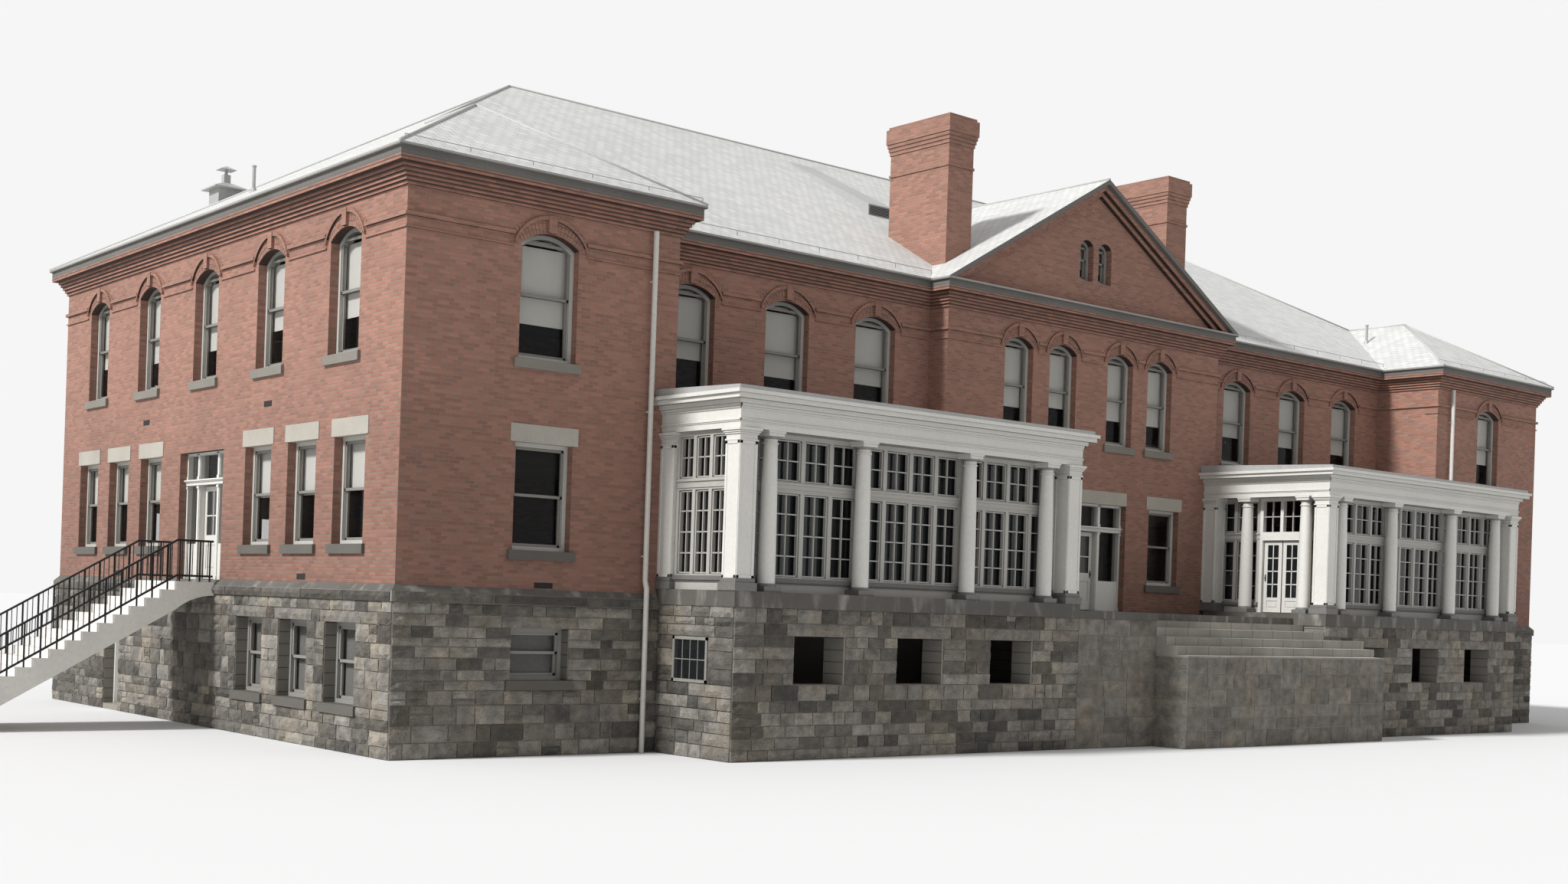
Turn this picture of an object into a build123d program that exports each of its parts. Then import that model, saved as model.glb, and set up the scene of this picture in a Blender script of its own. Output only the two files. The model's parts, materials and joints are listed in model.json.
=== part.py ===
from build123d import *
import math
import os

# Brick school building on a rough stone basement, as a 1:2 scale model.
# Millimetres of the model. X runs along the front, Y runs into the depth, Z is up.
# In the drafting frame X = 0 is the middle of the front, Y = 0 is the front of the
# two end wings and Z = 0 is the lowest ground. The finished pieces are shifted in Y
# so that the origin lies under the middle of the whole outline.

# Plan
HALF_LENGTH = 9960
DEPTH = 8760
WING_WIDTH = 2950
SETBACK = 1000
PAVILION_HALF = 2590
PAVILION_STEP = 300
WALL = 200

# Heights above the lowest ground
BASE_HEIGHT = 1530
STOREY = 1750
CELLAR_FLOOR = 60
FLOOR_SLAB = 80
EAVES_RISE = 3478
CORNICE_HEIGHT = 317
ROOF_PITCH = 30
ROOF_SHELL = 60

# Stone basement and its sloped water table
STONE_PROUD = 30
STONE_WALL = 250
TABLE_PROUD = 55
TABLE_HEIGHT = 60
TABLE_BAND = 90

# Cornice of stepped brick courses under a metal fascia and gutter lip
CORNICE_STEPS = 5
CORNICE_STEP_OUT = 20
CORNICE_STEP_RISE = 34
FASCIA_OUT = 160
GUTTER_OUT = 185
GUTTER_LIP = 30

# String course and window hoods
STRING_TOP = 3248
STRING_HEIGHT = 34
STRING_PROUD = 26
FILLET_HEIGHT = 18
FILLET_PROUD = 14
FILLET_DROP = 120
HOOD_WIDTH = 36
ARCH_RING = 165
KEYSTONE_WIDTH = 90
KEYSTONE_PROUD = 34
KEYSTONE_LIFT = 8

# Windows
WINDOW_WIDTH = 620
LOWER_SILL = 354
LOWER_HEAD = 1343
UPPER_SILL = 2105
UPPER_SPRING = 3161
ARCH_RISE = 110
CELLAR_HEAD = 360
CELLAR_WINDOW_HEIGHT = 745
SHORT_CELLAR_WINDOW_HEIGHT = 480
SILL_HEIGHT = 88
SILL_PROUD = 32
SILL_BITE = 110
SILL_HORN = 50
LINTEL_HEIGHT = 165
LINTEL_PROUD = 8
LINTEL_HORN = 55
REVEAL = 85
FRAME_DEPTH = 60
FRAME_FACE = 38
GLASS = 6
GLASS_GAP = 2
SIDE_UPPER_PITCH = 1612
SIDE_LOWER_PITCH = 998
SIDE_LOWER_FIRST = 1435
RECESS_WINDOW_NEAR = 865
RECESS_WINDOW_FAR = 911
PAVILION_WINDOW_WIDTH = 500
PAVILION_WINDOW_NEAR = 550
PAVILION_WINDOW_FAR = 1355
PAVILION_LOWER_PLACE = 1525
GABLE_WINDOW_PLACE = 175
GABLE_WINDOW_WIDTH = 250
GABLE_WINDOW_LOW = 330
GABLE_WINDOW_HEIGHT = 420
GABLE_ARCH_RISE = 90
BACK_WINDOW_END = 1105
BACK_WINDOW_COUNT = 12

# Side entrance
SIDE_DOOR_OPENING = 1160
DOOR_HEAD = 1350
DOOR_FRAME = 60
DOOR_FRAME_DEPTH = 90
SIDE_DOOR_WIDTH = 450
DOOR_LEAF_HEIGHT = 985
DOOR_LEAF_THICK = 30
DOOR_GAP = 8
TRANSOM_HEIGHT = 60
SIDELIGHT_PANEL = 380
LEAF_STILE = 52
LEAF_SINK = 8
LEAF_LOCK_PART = 0.42
DOOR_FRAME_SETBACK = 90
CELLAR_LEAF_HEAD_FRAME = 40
LANDING_DROP = 30

# Main entrance
MAIN_DOOR_OPENING = 1500
MAIN_DOOR_WIDTH = 560

# Cellar door under the side stair
CELLAR_DOOR_PLACE = 6767
CELLAR_DOOR_OPENING = 480

# Side stair
STAIR_RISERS = 17
STAIR_TREAD = 153
LANDING_DEPTH = 450
STAIR_WIDTH = 1160
STAIR_WAIST = 290
STAIR_SOFFIT = 137
RAIL_HEIGHT = 430
RAIL_BAR = 22
BALUSTER = 14

# Porches
PORCH_SHIFT = 34
PORCH_OVERLAP = 180
PORCH_FRONT = 1225
PORCH_WALL = 220
PORCH_FLOOR = 50
PORCH_BASE_DROP = 100
PORCH_BASE_PROUD = 18
PORCH_COLUMN_END = 450
PORCH_COLUMN_INNER = 748
PORCH_COLUMN_INSET = 105
COLUMN_RADIUS = 85
COLUMN_TOP_RADIUS = 66
COLUMN_PLINTH = 200
COLUMN_PLINTH_HEIGHT = 50
PORCH_CAPITAL = 50
PORCH_BEAM_BOTTOM = 1555
PORCH_BEAM_TOP = 1775
PORCH_CORNICE_TOP = 1895
PORCH_CORNICE_OUT = 130
PORCH_BEAM_DEPTH = 260
PORCH_ROOF_RISE = 110
PORCH_PILASTER = 206
PORCH_SCREEN_DEPTH = 70
PORCH_END_RECESS = 45
PORCH_SILL = 155
PORCH_TRANSOM_LOW = 1000
PORCH_TRANSOM_HIGH = 1110
PORCH_POST = 45
PORCH_FRONT_LIGHTS = 12
PORCH_CELLAR_WIDTH = 510
PORCH_CELLAR_HEIGHT = 460
PORCH_DOOR_OPENING = 660
PORCH_DOOR_CENTRE = 830
PORCH_INNER_COLUMNS = [400, 1290]
PORCH_LEAF_FIELD = 190
PORCH_LEAF_PANEL = 150

# Roof pieces
CHIMNEY_WIDTH = 420
CHIMNEY_DEPTH = 1010
CHIMNEY_PLACE = 2080
CHIMNEY_NEAR = 1080
CHIMNEY_TOP = 5870
CHIMNEY_CAP = 45
CHIMNEY_CORBELS = 4
CHIMNEY_COURSE = 45
CHIMNEY_HEAD = 350
CHIMNEY_LAST_COURSE = 35
CHIMNEY_STRING_DROP = 620
CHIMNEY_STRING_HEIGHT = 30
CHIMNEY_STRING_PROUD = 12
CHIMNEY_WALL = 110
CHIMNEY_POT = 60
DORMER_PLACE = 1695
DORMER_WIDTH = 450
DORMER_FACE = 2875
DORMER_LENGTH = 1660
DORMER_HEIGHT = 140
VENT_SIZE = 300
VENT_TOP = 1075
VENT_FROM_EAVES = 1675
VENT_FROM_BACK = 1330
VENT_BRIM = 75
VENT_BRIM_THICK = 16
VENT_CAP_HEIGHT = 85
VENT_NECK = 84
VENT_NECK_HEIGHT = 100
VENT_POST = 30
VENT_POST_HEIGHT = 60
VENT_HAT = 200
VENT_HAT_HEIGHT = 50
GABLE_CORNICE_STEPS = ((60, 130), (120, 70))

# Terrace between the porches
TERRACE_DROP = 15
TERRACE_RIGHT = -1000
TERRACE_SET_BACK = 460
TERRACE_NOSE = 15
TERRACE_WALL = 200
COURT_RIGHT = 3030
COURT_DROP = 180
COURT_STEPS = 4
COURT_RISER = 100
COURT_TREAD = 150

# Downspouts
SPOUT_RADIUS = 26
SPOUT_INSET = 330
SPOUT_GAP = 10
SPOUT_BRACKET = 15
SPOUT_BRACKETS = (0.1, 0.5, 0.86)

# Derived heights and lines
EAVES = BASE_HEIGHT + EAVES_RISE
CORNICE_TOP = EAVES + CORNICE_HEIGHT
GROUND_FLOOR = BASE_HEIGHT
UPPER_FLOOR = GROUND_FLOOR + STOREY
PAVILION_FRONT = SETBACK - PAVILION_STEP
WING_INNER = HALF_LENGTH - WING_WIDTH
RECESS_WIDTH = WING_INNER - PAVILION_HALF
RECESS_WINDOW_PITCH = (RECESS_WIDTH - RECESS_WINDOW_NEAR - RECESS_WINDOW_FAR) / 2
BACK_WINDOW_PITCH = 2 * (HALF_LENGTH - BACK_WINDOW_END) / (BACK_WINDOW_COUNT - 1)
PORCH_CENTRE = PAVILION_HALF + RECESS_WIDTH / 2 - PORCH_SHIFT
PORCH_HALF = RECESS_WIDTH / 2 + PORCH_OVERLAP
PORCH_GAP_HALF = PORCH_CENTRE - PORCH_HALF - PORCH_BASE_PROUD
SLOPE = math.tan(math.radians(ROOF_PITCH))
LANDING = GROUND_FLOOR - LANDING_DROP
RISER = LANDING / STAIR_RISERS
STAIR_RUN = LANDING_DEPTH + (STAIR_RISERS - 1) * STAIR_TREAD
STEPS_FRONT = PORCH_FRONT + (COURT_STEPS - 1) * COURT_TREAD
FRONT_REACH = max(PORCH_FRONT + PORCH_CORNICE_OUT, STEPS_FRONT)
BACK_REACH = DEPTH + GUTTER_OUT
SHIFT_Y = (FRONT_REACH - BACK_REACH) / 2

LEFT_TURN = Pos(-HALF_LENGTH, DEPTH / 2, 0) * Rot(0, 0, -90)
BACK_TURN = Pos(0, DEPTH, 0) * Rot(0, 0, 180)


def block(x0, x1, y0, y1, z0, z1):
    """A box between two corners."""
    middle = Pos((x0 + x1) / 2, (y0 + y1) / 2, (z0 + z1) / 2)
    return middle * Box(abs(x1 - x0), abs(y1 - y0), abs(z1 - z0))


def slab_xz(points, y0, y1):
    """An outline drawn on the front view, carried from y0 to y1."""
    face = make_face(Polyline([(x, y0, z) for x, z in points], close=True))
    return extrude(face, amount=y1 - y0, dir=(0, 1, 0))


def slab_yz(points, x0, x1):
    """An outline drawn on the side view, carried from x0 to x1."""
    face = make_face(Polyline([(x0, y, z) for y, z in points], close=True))
    return extrude(face, amount=x1 - x0, dir=(1, 0, 0))


def slab_xy(points, z0, z1):
    """An outline drawn on the plan, carried from z0 to z1."""
    face = make_face(Polyline([(x, y, z0) for x, y in points], close=True))
    return extrude(face, amount=z1 - z0, dir=(0, 0, 1))


def arched(u, width, low, spring, rise, v0, v1):
    """A flat-sided solid with a segmental arch on top, centred on u."""
    left = u - width / 2
    right = u + width / 2
    outline = Polyline([(left, v0, spring), (left, v0, low), (right, v0, low), (right, v0, spring)])
    outline += ThreePointArc((left, v0, spring), (u, v0, spring + rise), (right, v0, spring))
    return extrude(make_face(outline), amount=v1 - v0, dir=(0, 1, 0))


def mirrored(piece):
    """The same piece on the other side of the middle line."""
    return mirror(piece, about=Plane.YZ)


def both(piece):
    """The piece and its mirror image, as separate solids of one node."""
    solids = list(piece.solids()) + list(mirrored(piece).solids())
    return Compound(children=solids)


def gathered(pieces):
    """Many pieces as the separate solids of one node."""
    solids = []
    for piece in pieces:
        solids += list(piece.solids())
    return Compound(children=solids)


def minus(body, cutters):
    """The body with every cutter taken out."""
    for cutter in cutters:
        body = body - cutter
    return body


def save(piece, name):
    """Write one node, shifted so that the origin is under the middle of the outline."""
    export_step(Pos(0, SHIFT_Y, 0) * piece, f"parts/{name}.step")


# Windows as places on a wall: (u, storey), with u measured along the wall
def upper_opening(u, width=WINDOW_WIDTH, v0=-100, v1=WALL + 100):
    low = BASE_HEIGHT + UPPER_SILL
    return arched(u, width, low, BASE_HEIGHT + UPPER_SPRING, ARCH_RISE, v0, v1)


def lower_opening(u, width=WINDOW_WIDTH, v0=-100, v1=WALL + 100):
    low = BASE_HEIGHT + LOWER_SILL
    return block(u - width / 2, u + width / 2, v0, v1, low, BASE_HEIGHT + LOWER_HEAD)


def cellar_opening(u, height, v0=-100, v1=STONE_WALL + 100):
    head = BASE_HEIGHT - CELLAR_HEAD
    return block(u - WINDOW_WIDTH / 2, u + WINDOW_WIDTH / 2, v0, v1, head - height, head)


def sill(u, low, width=WINDOW_WIDTH, face=0):
    half = width / 2 + SILL_HORN
    return block(u - half, u + half, face - SILL_PROUD, face + SILL_BITE, low - SILL_HEIGHT, low)


def lintel(u, head, width=WINDOW_WIDTH, face=0):
    half = width / 2 + LINTEL_HORN
    return block(u - half, u + half, face - LINTEL_PROUD, face + SILL_BITE, head, head + LINTEL_HEIGHT)


def window_trim(uppers, lowers, width=WINDOW_WIDTH):
    """Stone sills and lintels for the windows of one wall."""
    trim = [sill(u, BASE_HEIGHT + UPPER_SILL, width) for u in uppers]
    for u in lowers:
        trim.append(sill(u, BASE_HEIGHT + LOWER_SILL, width))
        trim.append(lintel(u, BASE_HEIGHT + LOWER_HEAD, width))
    return trim


def window_cuts(uppers, lowers, width=WINDOW_WIDTH):
    cuts = [upper_opening(u, width) for u in uppers]
    cuts += [lower_opening(u, width) for u in lowers]
    return cuts


def frame_ring(outer, inner):
    return outer - inner


def upper_frame(u, width=WINDOW_WIDTH):
    v0 = REVEAL
    v1 = REVEAL + FRAME_DEPTH
    low = BASE_HEIGHT + UPPER_SILL
    spring = BASE_HEIGHT + UPPER_SPRING
    outer = arched(u, width, low, spring, ARCH_RISE, v0, v1)
    inner_rise = ARCH_RISE - FRAME_FACE / 4
    inner = arched(u, width - 2 * FRAME_FACE, low + FRAME_FACE, spring - FRAME_FACE * 3 / 4, inner_rise,
                   v0 - 1, v1 + 1)
    return frame_ring(outer, inner)


def upper_pane(u, width=WINDOW_WIDTH):
    v0 = REVEAL + FRAME_DEPTH
    low = BASE_HEIGHT + UPPER_SILL + GLASS_GAP
    spring = BASE_HEIGHT + UPPER_SPRING - GLASS_GAP
    return arched(u, width - 2 * GLASS_GAP, low, spring, ARCH_RISE - GLASS_GAP, v0, v0 + GLASS)


def square_frame(u, low, high, width, v0):
    v1 = v0 + FRAME_DEPTH
    half = width / 2
    outer = block(u - half, u + half, v0, v1, low, high)
    inner = block(u - half + FRAME_FACE, u + half - FRAME_FACE, v0 - 1, v1 + 1,
                  low + FRAME_FACE, high - FRAME_FACE)
    return frame_ring(outer, inner)


def square_pane(u, low, high, width, v0):
    half = width / 2 - GLASS_GAP
    return block(u - half, u + half, v0, v0 + GLASS, low + GLASS_GAP, high - GLASS_GAP)


def window_frames(uppers, lowers, width=WINDOW_WIDTH):
    frames = [upper_frame(u, width) for u in uppers]
    low = BASE_HEIGHT + LOWER_SILL
    head = BASE_HEIGHT + LOWER_HEAD
    frames += [square_frame(u, low, head, width, REVEAL) for u in lowers]
    return frames


def window_panes(uppers, lowers, width=WINDOW_WIDTH):
    panes = [upper_pane(u, width) for u in uppers]
    low = BASE_HEIGHT + LOWER_SILL
    head = BASE_HEIGHT + LOWER_HEAD
    panes += [square_pane(u, low, head, width, REVEAL + FRAME_DEPTH) for u in lowers]
    return panes


def cellar_frame(u, height):
    head = BASE_HEIGHT - CELLAR_HEAD
    return square_frame(u, head - height, head, WINDOW_WIDTH, REVEAL)


def cellar_pane(u, height):
    head = BASE_HEIGHT - CELLAR_HEAD
    return square_pane(u, head - height, head, WINDOW_WIDTH, REVEAL + FRAME_DEPTH)


# String course with a hood over each arched window
def hood(u, width):
    """The moulded arch over a window, with its keystone."""
    half = width / 2 + ARCH_RING / 2
    foot = BASE_HEIGHT + UPPER_SPRING + FILLET_HEIGHT
    crown = BASE_HEIGHT + UPPER_SPRING + ARCH_RISE + ARCH_RING
    outer = ThreePointArc((u - half, 0, foot), (u, 0, crown), (u + half, 0, foot))
    inner = ThreePointArc((u - half, 0, foot - HOOD_WIDTH), (u, 0, crown - HOOD_WIDTH),
                          (u + half, 0, foot - HOOD_WIDTH))
    left = Line((u - half, 0, foot - HOOD_WIDTH), (u - half, 0, foot))
    right = Line((u + half, 0, foot - HOOD_WIDTH), (u + half, 0, foot))
    band = extrude(make_face(outer + inner + left + right), amount=STRING_PROUD, dir=(0, -1, 0))
    spring_top = BASE_HEIGHT + UPPER_SPRING + ARCH_RISE
    key = block(u - KEYSTONE_WIDTH / 2, u + KEYSTONE_WIDTH / 2, -KEYSTONE_PROUD, 0, spring_top + KEYSTONE_LIFT,
                crown)
    return band + key


def raised_line(u0, u1, proud, z0, z1, wrap0, wrap1):
    """One projecting course, carried round the wall's end where wrap is 1."""
    line = block(u0 - proud * wrap0, u1 + proud * wrap1, -proud, 0, z0, z1)
    if wrap0:
        line += block(u0 - proud, u0, 0, WALL, z0, z1)
    if wrap1:
        line += block(u1, u1 + proud, 0, WALL, z0, z1)
    return line


def string_course(u0, u1, hoods, width=WINDOW_WIDTH, wraps=(0, 0)):
    """The raised brick lines across a wall, broken at each window arch."""
    top = BASE_HEIGHT + STRING_TOP
    low = top - FILLET_DROP
    course = raised_line(u0, u1, STRING_PROUD, top - STRING_HEIGHT, top, *wraps)
    course += raised_line(u0, u1, FILLET_PROUD, low - FILLET_HEIGHT, low, *wraps)
    for u in hoods:
        half = width / 2 + ARCH_RING / 2
        course -= block(u - half, u + half, -2 * STRING_PROUD, 1, low - STRING_HEIGHT, top + STRING_HEIGHT)
    for u in hoods:
        course += hood(u, width)
    return course


# Walls as seen from outside, with u along the wall and v into it
def brick_wall(u0, u1, uppers, lowers, width=WINDOW_WIDTH, low=BASE_HEIGHT, wraps=(0, 0), ends=(0, 0)):
    """A wall with its windows and string course. ends shortens the course where another wall abuts."""
    wall = block(u0, u1, 0, WALL, low, CORNICE_TOP)
    wall = minus(wall, window_cuts(uppers, lowers, width))
    wall = minus(wall, window_trim(uppers, lowers, width))
    return wall + string_course(u0 + ends[0], u1 - ends[1], uppers, width, wraps)


def table_profile():
    """Section of the water table: a rough band under a smooth slope, as (out, height)."""
    band_low = BASE_HEIGHT - TABLE_HEIGHT - TABLE_BAND
    band_high = BASE_HEIGHT - TABLE_HEIGHT
    return [(0, band_low), (TABLE_PROUD, band_low), (TABLE_PROUD, band_high), (0, BASE_HEIGHT)]


def table_along(u0, u1):
    return slab_yz([(-out, z) for out, z in table_profile()], u0, u1)


def table_round(u, way, v0, v1):
    """The table on the end of a wall at u, facing along u in the direction way."""
    return slab_xz([(u + way * out, z) for out, z in table_profile()], v0, v1)


def water_table(u0, u1, end0, end1):
    """The table along a wall, turned round an outside corner at each end marked 1."""
    table = table_along(u0, u1)
    for u, way, turned in ((u0, -1, end0), (u1, 1, end1)):
        if turned:
            table += table_round(u, way, 0, STONE_WALL)
            reach = sorted((u, u + way * TABLE_PROUD))
            table += table_along(*reach) & table_round(u, way, -TABLE_PROUD, 0)
    return table


def stone_wall(u0, u1, cellar_windows, height, extra_cuts=(), end0=0, end1=0):
    """Basement wall with its water table. end0 and end1 carry both round a corner."""
    low_top = BASE_HEIGHT - TABLE_HEIGHT - TABLE_BAND
    wall = block(u0 - STONE_PROUD * end0, u1 + STONE_PROUD * end1, -STONE_PROUD, STONE_WALL, 0, low_top)
    wall += block(u0, u1, 0, STONE_WALL, low_top, BASE_HEIGHT)
    wall += water_table(u0, u1, end0, end1)
    wall = minus(wall, [cellar_opening(u, height) for u in cellar_windows])
    head = BASE_HEIGHT - CELLAR_HEAD
    wall = minus(wall, [sill(u, head - height, face=-STONE_PROUD) for u in cellar_windows])
    return minus(wall, extra_cuts)


SIDE_UPPERS = [k * SIDE_UPPER_PITCH for k in range(-2, 3)]
SIDE_LOWERS = [s * (SIDE_LOWER_FIRST + k * SIDE_LOWER_PITCH) for s in (-1, 1) for k in range(3)]
SIDE_CELLARS = [SIDE_LOWER_FIRST + k * SIDE_LOWER_PITCH for k in range(3)]
WING_WINDOW = -(HALF_LENGTH - WING_WIDTH / 2)
RECESS_WINDOWS = [-(PAVILION_HALF + RECESS_WINDOW_NEAR + k * RECESS_WINDOW_PITCH) for k in range(3)]
PAVILION_WINDOWS = [s * u for s in (-1, 1) for u in (PAVILION_WINDOW_NEAR, PAVILION_WINDOW_FAR)]
PAVILION_LOWERS = [-PAVILION_LOWER_PLACE, PAVILION_LOWER_PLACE]
BACK_WINDOWS = [(k - (BACK_WINDOW_COUNT - 1) / 2) * BACK_WINDOW_PITCH for k in range(BACK_WINDOW_COUNT)]
DOOR_SPLIT = SIDE_DOOR_OPENING / 2


CELLAR_DOOR_LOW = DEPTH / 2 - CELLAR_DOOR_PLACE - CELLAR_DOOR_OPENING / 2
CELLAR_DOOR_HIGH = CELLAR_DOOR_LOW + CELLAR_DOOR_OPENING


# Side walls. On the left wall u runs from the rear, so +u is the front half.
def side_wall_part(u0, u1):
    uppers = [u for u in SIDE_UPPERS if u0 < u < u1]
    lowers = [u for u in SIDE_LOWERS if u0 < u < u1]
    wraps = (0, 1) if u1 > DOOR_SPLIT else (1, 0)
    return LEFT_TURN * brick_wall(u0, u1, uppers, lowers, wraps=wraps)


def side_wall_over_door():
    head = BASE_HEIGHT + DOOR_HEAD
    wall = brick_wall(-DOOR_SPLIT, DOOR_SPLIT, [0], [], low=head)
    return LEFT_TURN * wall


def side_base_part(u0, u1, windows):
    """Basement wall of one side, in front of or behind the cellar door."""
    wall = stone_wall(u0, u1, windows, CELLAR_WINDOW_HEIGHT, (), int(u0 < CELLAR_DOOR_LOW), int(u1 > CELLAR_DOOR_HIGH))
    return LEFT_TURN * wall


def cellar_door_surround():
    """Stonework over the cellar door and the step under it."""
    head = BASE_HEIGHT - CELLAR_HEAD
    over = stone_wall(CELLAR_DOOR_LOW, CELLAR_DOOR_HIGH, [], 0)
    over &= block(CELLAR_DOOR_LOW, CELLAR_DOOR_HIGH, -DEPTH, DEPTH, head, BASE_HEIGHT)
    step = block(CELLAR_DOOR_LOW, CELLAR_DOOR_HIGH, -STONE_PROUD, STONE_WALL, 0, CELLAR_FLOOR)
    return LEFT_TURN * gathered([over, step])


def wing_front():
    return brick_wall(-HALF_LENGTH + WALL, -WING_INNER, [WING_WINDOW], [WING_WINDOW], wraps=(0, 1))


def wing_base():
    """Front basement wall of a wing, with the short wall that turns back to the recess."""
    front = stone_wall(-HALF_LENGTH + STONE_WALL, -WING_INNER, [WING_WINDOW], SHORT_CELLAR_WINDOW_HEIGHT,
                       (), 0, 1)
    turned = block(-WING_INNER - STONE_WALL, -WING_INNER, STONE_WALL, SETBACK - STONE_PROUD, 0, BASE_HEIGHT)
    return front + turned


# Short walls that turn the corner from a wing or the pavilion back to the recess
def return_wall(face_x, front_y, inward):
    x1 = face_x + inward * WALL
    wall = block(face_x, x1, front_y + WALL, SETBACK, BASE_HEIGHT, CORNICE_TOP)
    proud = face_x - inward * STRING_PROUD
    top = BASE_HEIGHT + STRING_TOP
    course = block(face_x, proud, front_y + WALL, SETBACK, top - STRING_HEIGHT, top)
    return wall + course


def recess_wall():
    ends = (WALL + STRING_PROUD, WALL + STRING_PROUD)
    wall = brick_wall(-WING_INNER - WALL, -PAVILION_HALF + WALL, RECESS_WINDOWS, RECESS_WINDOWS, ends=ends)
    return Pos(0, SETBACK, 0) * wall


def recess_base():
    x0 = -WING_INNER - STONE_WALL
    x1 = -PAVILION_HALF + STONE_WALL
    return block(x0, x1, SETBACK - STONE_PROUD, SETBACK + STONE_WALL, 0, BASE_HEIGHT)


MAIN_SPLIT = MAIN_DOOR_OPENING / 2


def pavilion_wall_beside():
    """Brickwork between the pavilion corner and the main door, up to the door lintel."""
    u = PAVILION_LOWERS[0]
    head = BASE_HEIGHT + DOOR_HEAD + LINTEL_HEIGHT
    wall = block(-PAVILION_HALF, -MAIN_SPLIT, 0, WALL, BASE_HEIGHT, head)
    wall = minus(wall, [lower_opening(u), *window_trim([], [u])])
    return Pos(0, PAVILION_FRONT, 0) * wall


def pavilion_wall_upper():
    """Upper storey of the pavilion, with its four windows in two pairs."""
    low = BASE_HEIGHT + DOOR_HEAD + LINTEL_HEIGHT
    wall = brick_wall(-PAVILION_HALF, PAVILION_HALF, PAVILION_WINDOWS, [], PAVILION_WINDOW_WIDTH, low, (1, 1))
    return Pos(0, PAVILION_FRONT, 0) * wall


def main_lintel_local():
    head = BASE_HEIGHT + DOOR_HEAD
    return block(-MAIN_SPLIT, MAIN_SPLIT, -LINTEL_PROUD, SILL_BITE, head, head + LINTEL_HEIGHT)


def pavilion_base():
    return Pos(0, PAVILION_FRONT, 0) * stone_wall(-PAVILION_HALF, PAVILION_HALF, [], 0)


def gable_wall():
    """Triangle of brick over the pavilion cornice, with two small arched windows."""
    half = PAVILION_HALF
    rise = (half + GUTTER_OUT) * SLOPE - ROOF_SHELL - 40
    top = CORNICE_TOP + rise
    foot = half - 60 / SLOPE
    wall = slab_xz([(-foot, CORNICE_TOP), (foot, CORNICE_TOP), (0, top)], 0, WALL)
    for u in (-GABLE_WINDOW_PLACE, GABLE_WINDOW_PLACE):
        wall -= gable_opening(u)
    return Pos(0, PAVILION_FRONT, 0) * wall


def gable_opening(u, shrink=0, v0=-100, v1=WALL + 100):
    low = CORNICE_TOP + GABLE_WINDOW_LOW + shrink
    spring = CORNICE_TOP + GABLE_WINDOW_LOW + GABLE_WINDOW_HEIGHT - shrink
    return arched(u, GABLE_WINDOW_WIDTH - 2 * shrink, low, spring, GABLE_ARCH_RISE, v0, v1)


def back_wall():
    half = HALF_LENGTH - WALL
    wall = brick_wall(-half, half, BACK_WINDOWS, BACK_WINDOWS)
    return BACK_TURN * wall


def back_base():
    half = HALF_LENGTH - STONE_WALL
    return BACK_TURN * stone_wall(-half, half, [], 0)


# Floors
def floor_plate(top, inset):
    x = HALF_LENGTH - inset
    w = WING_INNER + inset
    p = PAVILION_HALF - inset
    y0 = inset
    y1 = SETBACK + inset
    y2 = PAVILION_FRONT + inset
    y3 = DEPTH - inset
    outline = [(-x, y0), (-w, y0), (-w, y1), (-p, y1), (-p, y2), (p, y2), (p, y1), (w, y1), (w, y0),
               (x, y0), (x, y3), (-x, y3)]
    return slab_xy(outline, top - FLOOR_SLAB, top)


def cellar_floor():
    inset = STONE_WALL
    x = HALF_LENGTH - inset
    w = WING_INNER + inset
    p = PAVILION_HALF - inset
    y1 = SETBACK + inset
    outline = [(-x, inset), (-w, inset), (-w, y1), (-p, y1), (-p, PAVILION_FRONT + inset),
               (p, PAVILION_FRONT + inset), (p, y1), (w, y1), (w, inset), (x, inset),
               (x, DEPTH - inset), (-x, DEPTH - inset)]
    return slab_xy(outline, 0, CELLAR_FLOOR)


# Cornice: plates stepped out from the wall outline, parted into straight lengths
def outline_points(out):
    x = HALF_LENGTH + out
    w = WING_INNER - out
    p = PAVILION_HALF + out
    return [(-x, -out), (-w, -out), (-w, SETBACK - out), (-p, SETBACK - out), (-p, PAVILION_FRONT - out),
            (p, PAVILION_FRONT - out), (p, SETBACK - out), (w, SETBACK - out), (w, -out), (x, -out),
            (x, DEPTH + out), (-x, DEPTH + out)]


def cornice_ring():
    """The whole cornice round the building, as one solid."""
    core = slab_xy(outline_points(0), EAVES - 50, CORNICE_TOP + 50)
    levels = [(CORNICE_STEP_OUT * (k + 1), EAVES + CORNICE_STEP_RISE * k, EAVES + CORNICE_STEP_RISE * (k + 1))
              for k in range(CORNICE_STEPS)]
    corbel_top = EAVES + CORNICE_STEP_RISE * CORNICE_STEPS
    levels.append((FASCIA_OUT, corbel_top, CORNICE_TOP - GUTTER_LIP))
    levels.append((GUTTER_OUT, CORNICE_TOP - GUTTER_LIP, CORNICE_TOP))
    ring = None
    for out, z0, z1 in levels:
        plate = slab_xy(outline_points(out), z0, z1)
        ring = plate if ring is None else ring + plate
    return ring - core


def cornice_parts():
    ring = cornice_ring()
    far = 2 * HALF_LENGTH
    z0 = EAVES - 10
    z1 = CORNICE_TOP + 10
    out = GUTTER_OUT
    left = ring & block(-far, -HALF_LENGTH, -far, far, z0, z1)
    back = ring & block(-HALF_LENGTH, HALF_LENGTH, DEPTH, far, z0, z1)
    wing = ring & block(-HALF_LENGTH, -WING_INNER + out, -far, SETBACK - out, z0, z1)
    middle = ring & block(-WING_INNER, WING_INNER, SETBACK - PAVILION_STEP - out, SETBACK, z0, z1)
    middle -= both(wing)
    return {"side_cornices": both(left), "back_cornice": back, "wing_cornices": both(wing),
            "main_front_cornice": middle}


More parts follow.
